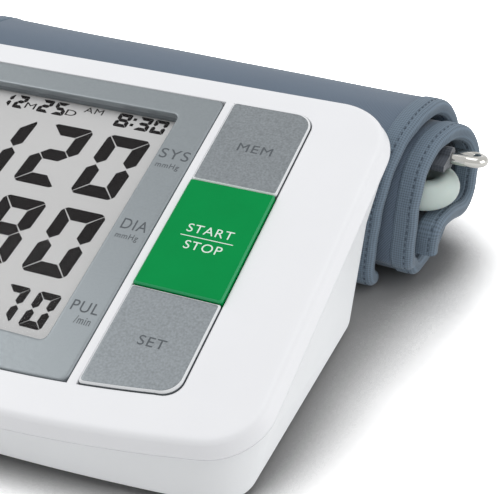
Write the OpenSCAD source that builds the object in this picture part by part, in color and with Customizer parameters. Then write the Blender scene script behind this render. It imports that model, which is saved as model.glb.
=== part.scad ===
// Upper arm blood pressure monitor: a wedge-shaped desk unit with a large
// display, three keys and a pump inside, and its rolled arm cuff behind it.
// Millimetres, +Z up, the table at Z = 0, the front of the monitor towards -Y.

/* [Case] */
// Width of the sloping face, between its side creases
face_w = 146; // [138:1:156]
// Length of the sloping face, measured up the slope
face_l = 109.5; // [104:0.5:116]
// Slope of the face
face_tilt = 18.2; // [16:0.1:20]
// Height of the middle of the face above the table
face_z = 32.8; // [32:0.1:36]
// Radius of the bow of the front edge
front_bow_r = 320; // [260:10:600]
// Radius of the front corners of the face
front_corner_r = 13; // [10:0.5:16]
// Radius of the back corners of the face
back_corner_r = 14; // [11:0.5:18]
// How far the bevelled rim stands out past the face
rim_out = 1.7; // [1.4:0.1:2.2]
// How far the bevelled rim drops below the face
rim_drop = 3.6; // [3.4:0.1:4.4]
// Straight lip below the bevel
rim_lip = 1.2; // [0.9:0.1:1.6]
// Rounding of the crease around the face
crease_r = 0.9; // [0.4:0.1:1.4]
// Step from the upper case in to the lower case
waist_step = 0.7; // [0.5:0.1:1]
// Wall of both case halves
wall = 2.2; // [1.6:0.1:2.4]
// Thickness of the face itself
face_wall = 3; // [2.8:0.1:3.4]
// Half width of the underside
base_half_w = 71.6; // [70:0.1:73]
// Front edge of the underside, ahead of the middle
base_front = 50.4; // [49:0.1:53]
// Back edge of the underside, behind the middle
base_back = 40; // [40:0.5:42]
// Radius of the bow of the underside's front edge
base_bow_r = 520; // [420:10:620]
// Corner radius of the underside at the front
base_front_r = 9.5; // [8:0.5:13]
// Corner radius of the underside at the back
base_corner_r = 17; // [14:1:19]
// Rounding of the lower edge
base_edge = 1; // [0.5:0.1:1.5]

/* [Feet and screws] */
// Height that the rubber feet lift the case
foot_h = 1.5; // [1:0.1:2.5]
// Radius of a foot
foot_r = 6; // [4:0.5:8]
// Depth that a foot is let into the case
foot_sink = 0.8; // [0.4:0.1:1]
// Distance of the feet from the middle, sideways
foot_x = 56; // [50:1:58]
// Distance of the front feet ahead of the middle
foot_front = 38; // [34:0.5:39]
// Distance of the back feet behind the middle
foot_back = 29; // [26:0.5:30]
// Distance of the screw posts from the middle, sideways
post_x = 63; // [61:0.5:63.5]
// Distance of the front screw posts ahead of the middle
post_front = 24; // [20:1:26]
// Distance of the back screw posts behind the middle
post_back = 14; // [10:1:18]
// Radius of a screw post
post_r = 3.4; // [3:0.1:4]
// Radius of a case screw
screw_r = 1.3; // [1:0.1:1.5]
// Radius of a screw head
screw_head_r = 2.4; // [2:0.1:2.6]

/* [Display] */
// Width of the grey display panel
panel_w = 83.25; // [80:0.25:86]
// Gap of white case between the panel and the keys
panel_gap = 2.75; // [2:0.25:3.5]
// Distance of the panel's upper edge from the back of the face
panel_back = 7.5; // [6:0.5:9]
// Length of the panel and of the key strip on the middle line
panel_l = 91.75; // [88:0.25:94]
// Radius of the bow along the lower edge of the panel and keys
panel_bow_r = 285; // [240:5:500]
// Outer corner radius of the panel and of the key strip
panel_corner_r = 4.5; // [3:0.5:6]
// Thickness of the panel
panel_t = 1.5; // [1.2:0.1:1.6]
// Width of the display window
window_w = 64; // [60:1:66]
// Length of the display window
window_l = 74.7; // [70:0.1:77]
// Distance of the window from the panel's right edge
window_right = 9.75; // [8:0.25:11]
// Distance of the window from the panel's upper edge
window_top = 7.2; // [6:0.1:9]
// Corner radius of the window
window_r = 1.8; // [1:0.1:3]
// Thickness of the clear window
lens_t = 0.9; // [0.6:0.1:1]
// Width of the ledge that carries the clear window
lens_ledge = 1.5; // [1:0.1:2]
// Thickness of the display cell
cell_t = 2.6; // [2:0.1:2.8]
// Margin of the display cell past the window
cell_margin = 2; // [1.6:0.1:2.6]
// Wall of the frame that holds the display cell
cell_frame = 2; // [1.5:0.1:2.4]

/* [Keys] */
// Width of the key strip
key_w = 22; // [20:0.5:24]
// Length of the upper and of the lower key
key_l = 28; // [26:0.5:29]
// Gap between keys and around the strip
key_gap = 0.35; // [0.3:0.05:0.5]
// Height of the grey keys above the face
key_proud = 0.7; // [0.4:0.1:1]
// Height of the middle key above the face
start_proud = 1.1; // [0.8:0.1:1.4]
// Travel of a key
key_travel = 0.8; // [0.5:0.1:1]
// Lip that holds a key under the face
key_lip = 1; // [0.8:0.1:1.2]
// Thickness of that lip
key_lip_t = 1; // [0.8:0.1:1.2]

/* [Board] */
// Depth of the board's upper side below the face
board_d = 8.8; // [8.6:0.1:9.4]
// Thickness of the circuit board
board_t = 1.6; // [1:0.1:1.6]
// Width of the circuit board
board_w = 114; // [112:1:116]
// Length of the circuit board up the slope
board_l = 86; // [84:1:88]
// Radius of the posts that carry the board
board_post_r = 2.6; // [2.2:0.1:2.8]

/* [Air system] */
// Radius of the pump motor
motor_r = 12; // [10:0.5:12]
// Length of the pump motor
motor_l = 25; // [20:1:26]
// Radius of the pump head
pump_r = 12.5; // [12:0.5:13]
// Length of the pump head
pump_l = 20; // [18:1:21]
// Radius of the pump shaft
shaft_r = 1; // [0.8:0.1:1.2]
// Running clearance of the shaft and of the valve plunger
run_gap = 0.05; // [0.02:0.01:0.08]
// Outer radius of the air nipples
nipple_r = 1.6; // [1.4:0.1:2]
// Bore radius of the air passages
air_r = 0.9; // [0.6:0.1:1.1]
// Outer radius of the inner air tubes
tube_r = 2.6; // [2.4:0.1:3]
// Outer radius of the exhaust valve
valve_r = 5; // [4.5:0.1:5.4]
// Radius of the valve plunger
plunger_r = 2; // [1.5:0.1:2.4]
// Stroke of the valve plunger
plunger_travel = 1.2; // [0.8:0.1:1.5]
// Bore radius of the air socket
socket_bore_r = 3.1; // [2.8:0.1:3.6]
// Depth of the air socket
socket_depth = 13; // [11:0.5:14]
// Outer radius of the air socket
socket_r = 5.5; // [5:0.1:6]

/* [Power] */
// Radius of a cell
cell_r = 5.25; // [5:0.05:5.3]
// Length of a cell
cell_l = 44.5; // [43:0.5:44.5]
// Number of cells side by side
cell_count = 4; // [2:1:4]
// Gap between neighbouring cells
cell_gap = 0.7; // [0.5:0.1:1]
// Wall of the battery bay
bay_wall = 1.4; // [1:0.1:1.6]
// Clearance around the battery cover
cover_gap = 0.35; // [0.25:0.05:0.5]

/* [Cuff] */
// Width of the cuff, along the roll
cuff_w = 143; // [130:1:150]
// Thickness of one cloth ply
ply_t = 1.1; // [0.8:0.1:1.3]
// Thickness of the flat air bladder
bladder_t = 1; // [0.6:0.1:1.2]
// Slack between the plies and the bladder
ply_gap = 0.2; // [0.1:0.05:0.3]
// Width of the edge binding
binding_w = 6; // [5:0.5:8]
// Extra thickness of the binding over the cloth, each side
binding_over = 0.4; // [0.2:0.1:0.5]
// Half depth of the roll
roll_a = 19; // [18.6:0.1:19.4]
// Half height of the roll
roll_b = 20.9; // [20.6:0.1:21.2]
// Backward lean of the roll, as a slope
roll_lean = 0.16; // [0.15:0.01:0.18]
// Step between one turn of the roll and the next
turn_step = 5; // [4.9:0.1:5.2]
// How far the first turn drifts to the right
first_drift = 8.9; // [7:0.1:10]
// How far the second turn drifts to the right
second_drift = 7.3; // [6:0.1:8]
// Right edge of the outermost turn
roll_right = 73; // [71:0.1:74]
// Turn of the whole roll about the vertical
cuff_yaw = -2.8; // [-3.2:0.1:-2.2]
// Distance of the roll's middle behind the middle of the face
roll_y = 64.2; // [64.2:0.1:66.2]
// Radius of the ring's wire
ring_wire_r = 1.5; // [1.2:0.1:1.6]
// Distance between the ring's two long bars
ring_pitch = 7; // [6.5:0.1:7.4]
// Outer radius of the hem around the ring's bar
hem_r = 2.9; // [2.6:0.1:3]

/* [Hose] */
// Outer radius of the hose
hose_r = 4; // [3.8:0.1:4.2]
// Radius of the plug's sleeve
plug_r = 5; // [4.6:0.1:5.4]
// Length of the plug's sleeve
plug_l = 20; // [16:1:24]

/* [Hidden] */
$fn = 48;

// Middle of the whole set, which is the origin of the part
set_x = 9.7;
set_y = 20;

// Small overshoot of a cut through a wall
cut = 1;
// Free gap between pieces that don't touch
clear = 0.3;

half_w = face_w / 2;
half_l = face_l / 2;
parting_d = rim_drop + rim_lip;
shell_off = rim_out - waist_step;
base_z = foot_h;
strip_right = (panel_w + panel_gap + key_w) / 2;
strip_left = strip_right - key_w;
panel_x1 = strip_left - panel_gap;
panel_x0 = panel_x1 - panel_w;
panel_y1 = half_l - panel_back;
panel_y0 = panel_y1 - panel_l;
window_x1 = panel_x1 - window_right;
window_x0 = window_x1 - window_w;
window_y1 = panel_y1 - window_top;
window_y0 = window_y1 - window_l;
frame_h = board_d - face_wall;
cell_d0 = face_wall + 0.2;
switch_top = board_d - 1.2;
stem_end = switch_top - key_travel - clear;
inner_floor = base_z + wall;

// Smooth step from 0 to 1
function smooth(t) = let (k = min(max(t, 0), 1)) k * k * (3 - 2 * k);
// Points of an arc about c
function arc(c, r, a0, a1, n) =
    [for (i = [0:n]) c + r * [cos(a0 + (a1 - a0) * i / n), sin(a0 + (a1 - a0) * i / n)]];
corner_cuts = 12;
// Outline with a bowed front edge and rounded corners, grown by off
function bowed(hw, front, back, bow, rf, rb, off) =
    let (bc = bow - front, xc = hw - rf, yc = bc - sqrt(pow(bow - rf, 2) - xc * xc), a = atan2(yc - bc, xc))
    concat(arc([xc, yc], rf + off, a, 0, corner_cuts), arc([hw - rb, back - rb], rb + off, 0, 90, corner_cuts),
           arc([rb - hw, back - rb], rb + off, 90, 180, corner_cuts), arc([-xc, yc], rf + off, 180, 180 - a, corner_cuts),
           [for (i = [1:11]) let (b = 180 - a + (180 + 2 * a) * i / 12) [0, bc] + (bow + off) * [cos(b), sin(b)]]);
function face_outline(off) = bowed(half_w, half_l, half_l, front_bow_r, front_corner_r, back_corner_r, off);
function base_outline(off) = bowed(base_half_w, base_front, base_back, base_bow_r, base_front_r, base_corner_r, off);
// A ring of the face outline at depth d below the face, in the face's own frame
function face_ring(off, d) = [for (p = face_outline(off)) [p.x, p.y, -d]];
// The same ring in the upright frame
function face_ring_up(off, d) =
    [for (p = face_outline(off))
        [p.x, p.y * cos(face_tilt) + d * sin(face_tilt), face_z + p.y * sin(face_tilt) - d * cos(face_tilt)]];
function base_ring(off, z) = [for (p = base_outline(off)) [p.x, p.y, z]];
// A ring of the lower shell between its floor ring a and its rim ring b, tucked in at the back
tuck_rise = 0.7;
tuck_in = 0.45;
function tucked_ring(a, b) =
    [for (i = [0:len(a) - 1]) let (d = b[i] - a[i], k = tuck_rise - tuck_in * smooth(a[i].y / 30))
        a[i] + [d.x * tuck_rise, d.y * k, d.z * tuck_rise]];
// Lower edge of the panel and keys at x, as a distance from their upper edge
function strip_bottom(x) = panel_l - (panel_bow_r - sqrt(pow(panel_bow_r, 2) - x * x));

// Everything stands about the middle of the set
module placed() { translate([-set_x, -set_y, 0]) children(); }
// Frame of the sloping face: origin at its middle, Z out of the face
module on_face() { placed() translate([0, 0, face_z]) rotate([face_tilt, 0, 0]) children(); }

// Closed skin through rings that have equal numbers of points, lowest first
module skin(rings) {
    n = len(rings[0]);
    m = len(rings);
    polyhedron(
        points = [for (r = rings) each r],
        faces = concat(
            [[for (i = [0:n - 1]) i]],
            [for (k = [0:m - 2]) for (i = [0:n - 1]) let (j = (i + 1) % n)
                each [[k * n + i, (k + 1) * n + i, k * n + j], [k * n + j, (k + 1) * n + i, (k + 1) * n + j]]],
            [[for (i = [n - 1:-1:0]) (m - 1) * n + i]]));
}

// Rounded rectangle from corner a to corner b
module rounded(a, b, r) {
    for (x = [a.x + r, b.x - r], y = [a.y + r, b.y - r]) translate([x, y]) circle(r);
    translate([a.x + r, a.y]) square([b.x - a.x - 2 * r, b.y - a.y]);
    translate([a.x, a.y + r]) square([b.x - a.x, b.y - a.y - 2 * r]);
}

// Flat outline between x0 and x1 with the bowed lower edge and its own corner radius on each side
module bowed_plate(x0, x1, grow, r_left, r_right) {
    y1 = panel_y1 + grow;
    intersection() {
        translate([0, panel_y0 + panel_bow_r]) circle(panel_bow_r + grow, $fn = 360);
        union() {
            translate([x0 - grow + r_left, panel_y0 - grow - cut])
                square([x1 - x0 + 2 * grow - r_left - r_right, panel_l + 2 * grow + cut]);
            for (e = [[x0 - grow + r_left, r_left, x0 - grow], [x1 + grow - r_right, r_right, x1 + grow - r_right]]) {
                low = panel_y1 - strip_bottom(e.x) - grow;
                for (y = [low + e[1], y1 - e[1]]) translate([e.x, y]) circle(e[1]);
                translate([e[2], low + e[1]]) square([e[1], y1 - low - 2 * e[1]]);
            }
        }
    }
}
module panel_shape(grow) { bowed_plate(panel_x0, panel_x1, grow, panel_corner_r, window_r); }
module strip_shape(grow) { bowed_plate(strip_left, strip_right, grow, 0.8, panel_corner_r); }
module window_shape(grow) {
    rounded([window_x0 - grow, window_y0 - grow], [window_x1 + grow, window_y1 + grow], window_r + grow / 2);
}

// Screw posts that join the two case halves
post_spots = [for (x = [-post_x, post_x], y = [-post_front, post_back]) [x, y]];
// Height of the parting plane at y
function parting_z(y) = face_z + y * tan(face_tilt) - parting_d / cos(face_tilt);
// Height of the face's underside at y
function ceiling_z(y) = face_z + y * tan(face_tilt) - face_wall / cos(face_tilt);
post_join = -1;
board_spots = [for (x = [window_x0 - 7.5, strip_left - key_lip - board_post_r - 1], y = [-board_l / 2 + 4, board_l / 2 - 4]) [x, y]];

// Upper shell: the sloping face, its bevelled rim and the seats for panel, window and keys
module upper_case() {
    color("whitesmoke") {
        on_face() difference() {
            skin([face_ring(rim_out - 0.3, parting_d), face_ring(rim_out, rim_drop + 0.4),
                  face_ring(rim_out - 0.4, rim_drop - 0.4), face_ring(0.35, crease_r),
                  face_ring(-crease_r * 0.3, crease_r * 0.25), face_ring(-crease_r, 0)]);
            skin([face_ring(rim_out - wall, parting_d + cut), face_ring(rim_out - wall, rim_drop),
                  face_ring(-wall * 0.6, face_wall)]);
            translate([0, 0, -panel_t]) linear_extrude(panel_t + cut) panel_shape(0.15);
            translate([0, 0, -panel_t - lens_t]) linear_extrude(lens_t + cut) window_shape(lens_ledge + 0.15);
            translate([0, 0, -face_wall - cut]) linear_extrude(face_wall + cut) window_shape(0);
            translate([0, 0, -face_wall - cut]) linear_extrude(face_wall + 2 * cut) strip_shape(key_gap);
        }
        on_face() for (p = board_spots) difference() {
            translate([p.x, p.y, -board_d]) cylinder(h = board_d - face_wall, r = board_post_r);
            translate([p.x, p.y, -board_d - cut]) cylinder(h = board_d - face_wall, r = screw_r - 0.2);
        }
        placed() for (p = post_spots) difference() {
            intersection() {
                translate([p.x, p.y, parting_z(p.y) + post_join]) cylinder(h = parting_d + 2, r = post_r);
                translate([0, 0, face_z]) rotate([face_tilt, 0, 0])
                    translate([-half_w, -half_l, -parting_d * 2]) cube([face_w, face_l, parting_d * 2 - face_wall]);
            }
            translate([p.x, p.y, parting_z(p.y) + post_join - cut]) cylinder(h = 5 + cut, r = screw_r - 0.2);
        }
    }
}

// Lower shell: a tapering tub with screw posts, foot recesses, battery opening and the air socket's hole
module lower_case() {
    color("gainsboro") placed() {
        difference() {
            skin([base_ring(-base_edge, base_z), base_ring(0, base_z + base_edge),
                  tucked_ring(base_ring(0, base_z + base_edge), face_ring_up(shell_off, parting_d)),
                  face_ring_up(shell_off, parting_d)]);
            skin([base_ring(-wall, inner_floor),
                  tucked_ring(base_ring(-wall, inner_floor), face_ring_up(shell_off - wall, parting_d + cut)),
                  face_ring_up(shell_off - wall, parting_d + cut), face_ring_up(shell_off - wall, parting_d - cut)]);
            for (p = foot_spots) translate([p.x, p.y, base_z - cut]) cylinder(h = cut + foot_sink, r = foot_r + 0.1);
            for (p = post_spots) translate([p.x, p.y, 0]) cylinder(h = inner_floor + cut, r = screw_head_r + clear);
            translate([bay_x0, bay_y0, base_z - cut]) cube([bay_x1 - bay_x0, bay_y1 - bay_y0, wall + 2 * cut]);
            translate([wall_x - 10, socket_y, socket_z]) rotate([0, 90, 0]) {
                cylinder(h = 20, r = socket_r + 0.1);
                cylinder(h = 8.5, r = socket_r + socket_flange + 0.1);
            }
        }
        for (p = post_spots) difference() {
            translate([p.x, p.y, inner_floor - 0.5]) cylinder(h = parting_z(p.y) + post_join - inner_floor + 0.5, r = post_r);
            translate([p.x, p.y, 0]) cylinder(h = head_z(p.y), r = screw_head_r + clear);
            translate([p.x, p.y, 0]) cylinder(h = parting_z(p.y) + cut, r = screw_r + 0.2);
        }
    }
}

foot_spots = [for (x = [-foot_x, foot_x], y = [-foot_front, foot_back]) [x, y]];
// Height of the seat under a screw head
function head_z(y) = parting_z(y) + post_join - 2.5;

module rubber_feet() {
    color("dimgray") placed() for (p = foot_spots) translate([p.x, p.y, 0]) {
        cylinder(h = 0.4, r1 = foot_r - 0.4, r2 = foot_r);
        translate([0, 0, 0.4]) cylinder(h = foot_h + foot_sink - 0.4, r = foot_r);
    }
}

// Length of a case screw under its head
screw_l = 4.9;
module case_screws() {
    color("silver") placed() for (p = post_spots) translate([p.x, p.y, head_z(p.y)]) {
        difference() {
            translate([0, 0, -1.8]) cylinder(h = 1.8, r = screw_head_r);
            for (a = [0, 90]) rotate([0, 0, a]) translate([-1.6, -0.3, -2]) cube([3.2, 0.6, 1]);
        }
        cylinder(h = screw_l, r = screw_r - 0.25);
    }
}

// Grey panel let into the face, open over the display
module display_panel() {
    color("darkgray") on_face() translate([0, 0, -panel_t]) difference() {
        linear_extrude(panel_t + 0.1) panel_shape(0);
        translate([0, 0, -cut]) linear_extrude(panel_t + 2 * cut) window_shape(0);
    }
}

module display_lens() {
    color([0.9, 0.92, 0.92, 0.4]) on_face() translate([0, 0, -panel_t - lens_t]) linear_extrude(lens_t) window_shape(lens_ledge);
}

module display_cell() {
    color("lightgray") on_face() translate([window_x0 - cell_margin, window_y0 - cell_margin, -cell_d0 - cell_t])
        cube([window_w + 2 * cell_margin, window_l + 2 * cell_margin, cell_t]);
}

// Frame between the face and the board that holds the display cell
module cell_frame_ring() {
    m = cell_margin + 0.2;
    color("white") on_face() difference() {
        translate([window_x0 - m - cell_frame, window_y0 - m - cell_frame, -board_d])
            cube([window_w + 2 * (m + cell_frame), window_l + 2 * (m + cell_frame), frame_h - 0.05]);
        translate([window_x0 - m, window_y0 - m, -cell_d0 - cell_t - 0.05])
            cube([window_w + 2 * m, window_l + 2 * m, 2 * cell_t]);
        translate([window_x0 + 4, window_y0 - m, -board_d - cut]) cube([window_w - 8, window_l + 2 * m, board_d]);
    }
}

// Rubber strips that carry the display's signals down to the board
module contact_strips() {
    color("slategray") on_face() for (y = [window_y0, window_y1 - 2.4])
        translate([window_x0 + 5, y, -board_d]) cube([window_w - 10, 2.4, board_d - cell_d0 - cell_t]);
}

// One key between y0 and y1: rounded cap, side lips under the face and a stem over its switch
lip_inset = 4;
module key(y0, y1, proud) {
    l0 = max(y0, key_y[3]) + lip_inset;
    l1 = min(y1, key_y[0]) - lip_inset;
    on_face() {
        difference() {
            intersection() {
                translate([0, 0, -face_wall]) linear_extrude(face_wall + proud) strip_shape(0);
                translate([0, y0, -face_wall]) cube([half_w, y1 - y0, 2 * face_wall]);
            }
            for (s = [[strip_right, -45], [strip_left, 45]]) translate([s.x, y0 - cut, proud + 0.25])
                rotate([0, s.y, 0]) translate([-0.5, 0, -0.5]) cube([1, y1 - y0 + 2 * cut, 1]);
        }
        translate([strip_left - key_lip, l0, -face_wall - clear - key_lip_t]) cube([key_w + 2 * key_lip, l1 - l0, key_lip_t]);
        translate([strip_left + 1.5, l0, -face_wall - clear]) cube([key_w - 3, l1 - l0, clear]);
        translate([strip_left + key_w / 2, (l0 + l1) / 2, -stem_end]) cylinder(h = stem_end - face_wall - clear, r = 2.5);
    }
}
// Edges between the keys, from the upper end of the strip down
key_y = [panel_y1, panel_y1 - key_l, panel_y1 - strip_bottom(strip_left) + key_l, panel_y1 - strip_bottom(strip_right)];
module mem_key() { color("gray") key(key_y[1] + key_gap / 2, key_y[0] + cut, key_proud); }
module start_key() { color("green") key(key_y[2] + key_gap / 2, key_y[1] - key_gap / 2, start_proud); }
module set_key() { color("gray") key(panel_y0 - cut, key_y[2] - key_gap / 2, key_proud); }

// Three push switches on the board, one under each key
module key_switches() {
    color("black") on_face() for (i = [0:2])
        translate([strip_left + key_w / 2, key_stem_y(i), -board_d]) {
            translate([-3, -3, 0]) cube([6, 6, 0.8]);
            cylinder(h = board_d - switch_top, r = 1.7);
        }
}
function key_stem_y(i) = (key_y[i] + key_y[i + 1]) / 2;

module main_board() {
    color("darkgreen") on_face() difference() {
        translate([-board_w / 2, -board_l / 2, -board_d - board_t]) cube([board_w, board_l, board_t]);
        for (p = board_spots) translate([p.x, p.y, -board_d - board_t - cut]) cylinder(h = board_t + 2 * cut, r = screw_r + 0.2);
    }
}

module board_screws() {
    color("silver") on_face() for (p = board_spots) translate([p.x, p.y, -board_d - board_t]) {
        translate([0, 0, -1.4]) cylinder(h = 1.4, r = screw_head_r - 0.2);
        cylinder(h = board_t + 3, r = screw_r - 0.25);
    }
}

// Sounder under the board, near its front end
buzzer_x = 6;
buzzer_in = 11;
buzzer_h = 3;
module buzzer() {
    color("black") on_face() translate([buzzer_x, -board_l / 2 + buzzer_in, -board_d - board_t - buzzer_h]) difference() {
        cylinder(h = buzzer_h, r = 6);
        translate([0, 0, -cut]) cylinder(h = cut + 1, r = 1);
    }
}

// Place of the air line that runs from the socket, along X
socket_y = -4;
socket_z = 14.5;
socket_flange = 1;
line_v = socket_y * cos(face_tilt) + (socket_z - face_z) * sin(face_tilt);
line_w = -socket_y * sin(face_tilt) + (socket_z - face_z) * cos(face_tilt);
wall_x = -half_w + 1.6;
manifold_x0 = wall_x + 17;
manifold_l = 20;
manifold_r = 3.8;
pump_y = 26;
pump_z = inner_floor + 1 + pump_r;
pump_x = -58;
outlet_x = pump_x + 9;
outlet_z = socket_z;
sensor_w = 8;
sensor_tube_l = 8.7;
sensor_v = line_v - manifold_r - sensor_tube_l - sensor_w / 2;
stub_in = 0.4;
stub_l = 4.4;
valve_l = 15;
valve_tube_l = 8;

// Gauge pressure sensor under the board, with its nipple towards the air line
module pressure_sensor() {
    color("dimgray") on_face() translate([manifold_x0 + 14, sensor_v, 0]) {
        translate([-sensor_w / 2, -sensor_w / 2, line_w - 3]) cube([sensor_w, sensor_w, -board_d - board_t - line_w + 3]);
        translate([0, sensor_w / 2, line_w]) rotate([-90, 0, 0]) nipple(4);
    }
}

// Hollow spigot for a tube, along Z from 0
module nipple(h) {
    difference() {
        cylinder(h = h, r = nipple_r);
        translate([0, 0, cut]) cylinder(h = h, r = air_r);
    }
}

module pump_motor() {
    color("silver") placed() translate([pump_x + pump_l, pump_y, pump_z]) rotate([0, 90, 0]) difference() {
        union() {
            cylinder(h = motor_l, r = motor_r);
            translate([0, 0, motor_l]) cylinder(h = 1.5, r = 4);
        }
        translate([0, 0, -cut]) cylinder(h = motor_l, r = shaft_r + run_gap);
    }
}

// Diaphragm chamber on the motor's end, with its outlet towards the manifold
module pump_head() {
    color("ivory") placed() {
        translate([pump_x, pump_y, pump_z]) rotate([0, 90, 0]) difference() {
            cylinder(h = pump_l, r = pump_r);
            translate([0, 0, 8]) cylinder(h = pump_l, r = pump_r - 2);
        }
        translate([outlet_x, pump_y - pump_r + 1, outlet_z]) rotate([90, 0, 0]) nipple(5);
    }
}

// Shaft and eccentric that drive the diaphragms
module pump_crank() {
    color("gray") placed() translate([pump_x + pump_l, pump_y, pump_z]) rotate([0, 90, 0]) {
        translate([0, 0, -8]) cylinder(h = 8 + motor_l - 3, r = shaft_r);
        translate([0, 0, -7]) cylinder(h = 4, r = 6);
        translate([3.5, 0, -10]) cylinder(h = 3, r = 1.5);
    }
}

// Rubber saddle that carries the pump on the floor
module pump_cradle() {
    color("black") placed() difference() {
        translate([pump_x + pump_l + 4, pump_y - 9, inner_floor]) cube([12, 18, 7]);
        translate([pump_x + pump_l, pump_y, pump_z]) rotate([0, 90, 0]) cylinder(h = motor_l, r = motor_r + 0.1);
    }
}

valve_x = manifold_x0 + manifold_l + valve_tube_l;
module valve_body() {
    color("dimgray") placed() translate([valve_x, socket_y, socket_z]) rotate([0, 90, 0]) {
        difference() {
            cylinder(h = valve_l, r = valve_r);
            translate([0, 0, 3]) cylinder(h = valve_l, r = plunger_r + run_gap);
        }
        rotate([180, 0, 0]) nipple(4);
    }
    color("dimgray") placed() translate([valve_x + 2, socket_y - 3, inner_floor]) cube([valve_l - 4, 6, socket_z - inner_floor - valve_r + 0.6]);
}

module valve_plunger() {
    color("silver") placed() translate([valve_x, socket_y, socket_z]) rotate([0, 90, 0]) {
        translate([0, 0, 3 + plunger_travel + clear]) cylinder(h = valve_l - 2, r = plunger_r);
        translate([0, 0, valve_l + 1.2 + plunger_travel]) cylinder(h = 1, r = plunger_r + 1.2);
    }
}

// Branched air line between the socket, pump, sensor and valve
module air_manifold() {
    color("ivory") placed() {
        translate([manifold_x0, socket_y, socket_z]) rotate([0, 90, 0]) difference() {
            cylinder(h = manifold_l, r = manifold_r);
            translate([0, 0, -cut]) cylinder(h = manifold_l - 2, r = air_r);
        }
        translate([manifold_x0 + manifold_l, socket_y, socket_z]) rotate([0, 90, 0]) nipple(4);
        translate([outlet_x, socket_y + manifold_r - stub_in, socket_z]) rotate([-90, 0, 0]) nipple(stub_l);
        translate([manifold_x0, socket_y, socket_z]) translate([14, 0, 0]) rotate([face_tilt, 0, 0])
            translate([0, -manifold_r + stub_in, 0]) rotate([90, 0, 0]) nipple(stub_l);
        translate([manifold_x0 + 5, socket_y - 2.5, inner_floor]) cube([8, 5, socket_z - inner_floor - manifold_r + 0.5]);
    }
}

module air_tube(h) {
    difference() {
        cylinder(h = h, r = tube_r);
        translate([0, 0, -cut]) cylinder(h = h + 2 * cut, r = nipple_r + 0.02);
    }
}

// Short silicone tubes pushed over the nipples
module inner_tubes() {
    color("honeydew") {
        placed() translate([manifold_x0 + manifold_l, socket_y, socket_z]) rotate([0, 90, 0]) air_tube(valve_tube_l);
        placed() translate([outlet_x, socket_y + manifold_r, socket_z]) rotate([-90, 0, 0])
            air_tube(pump_y - pump_r - socket_y - manifold_r);
        on_face() translate([manifold_x0 + 14, sensor_v + sensor_w / 2, line_w]) rotate([-90, 0, 0])
            air_tube(sensor_tube_l);
    }
}

// Socket in the left wall for the hose's plug
module air_socket() {
    color("lightgray") placed() translate([wall_x - 2.5, socket_y, socket_z]) rotate([0, 90, 0]) difference() {
        union() {
            cylinder(h = manifold_x0 - wall_x + 2.5, r = socket_r);
            cylinder(h = 1, r = socket_r + socket_flange);
        }
        translate([0, 0, -cut]) cylinder(h = socket_depth + cut, r = socket_bore_r);
        translate([0, 0, socket_depth - cut]) cylinder(h = 20, r = air_r);
    }
}

cell_pitch = 2 * cell_r + cell_gap;
spring_room = 2.5;
contact_t = 0.4;
bay_x0 = 2;
bay_x1 = bay_x0 + cell_count * cell_pitch + 2 * cover_gap;
bay_y0 = -13.5;
bay_y1 = bay_y0 + cell_l + 2 * spring_room;
cells_z = inner_floor + 0.4 + cell_r;
cells_y = bay_y0 + spring_room;
function cell_x(i) = bay_x0 + cover_gap + cell_pitch * (i + 0.5);

module battery_cells() {
    color("dimgray") placed() for (i = [0:cell_count - 1])
        translate([cell_x(i), cells_y + (i % 2 == 0 ? 0 : cell_l), cells_z]) rotate([i % 2 == 0 ? -90 : 90, 0, 0]) {
            cylinder(h = cell_l - 1, r = cell_r);
            translate([0, 0, cell_l - 1]) cylinder(h = 1, r = 1.8);
        }
}

// Contact plates at both ends of the bay
module battery_contacts() {
    color("gold") placed() for (i = [0:cell_count - 1], y = [bay_y0, bay_y1 - contact_t])
        translate([cell_x(i) - 4, y, cells_z - 4]) cube([8, contact_t, 8]);
}

// Coiled springs against the flat end of each cell
spring_turns = 3;
spring_wire_r = 0.3;
spring_cuts = 10;
function spring_line(l) =
    let (n = spring_turns * spring_cuts)
    [for (i = [0:n]) let (k = i / n, r = 3.2 - k)
        [r * cos(360 * spring_turns * k), spring_wire_r + (l - 2 * spring_wire_r) * k, r * sin(360 * spring_turns * k)]];
module battery_springs() {
    l = spring_room - contact_t - 0.1;
    line = spring_line(l);
    color("silver") placed() for (i = [0:cell_count - 1])
        translate([cell_x(i), i % 2 == 0 ? bay_y0 + contact_t + 0.05 : bay_y1 - contact_t - 0.05, cells_z])
            rotate([i % 2 == 0 ? 0 : 180, 0, 0])
                skin([for (k = [0:len(line) - 1]) tube_ring(line, k, spring_wire_r, 6, [0, 1, 0])]);
}

// Walled tray around the cells, open below
module battery_bay() {
    color("whitesmoke") placed() difference() {
        translate([bay_x0 - bay_wall, bay_y0 - bay_wall, inner_floor])
            cube([bay_x1 - bay_x0 + 2 * bay_wall, bay_y1 - bay_y0 + 2 * bay_wall, cells_z + cell_r + 0.3 + bay_wall - inner_floor]);
        translate([bay_x0, bay_y0, inner_floor - cut]) cube([bay_x1 - bay_x0, bay_y1 - bay_y0, cells_z + cell_r + 0.3 - inner_floor + cut]);
    }
}

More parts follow.
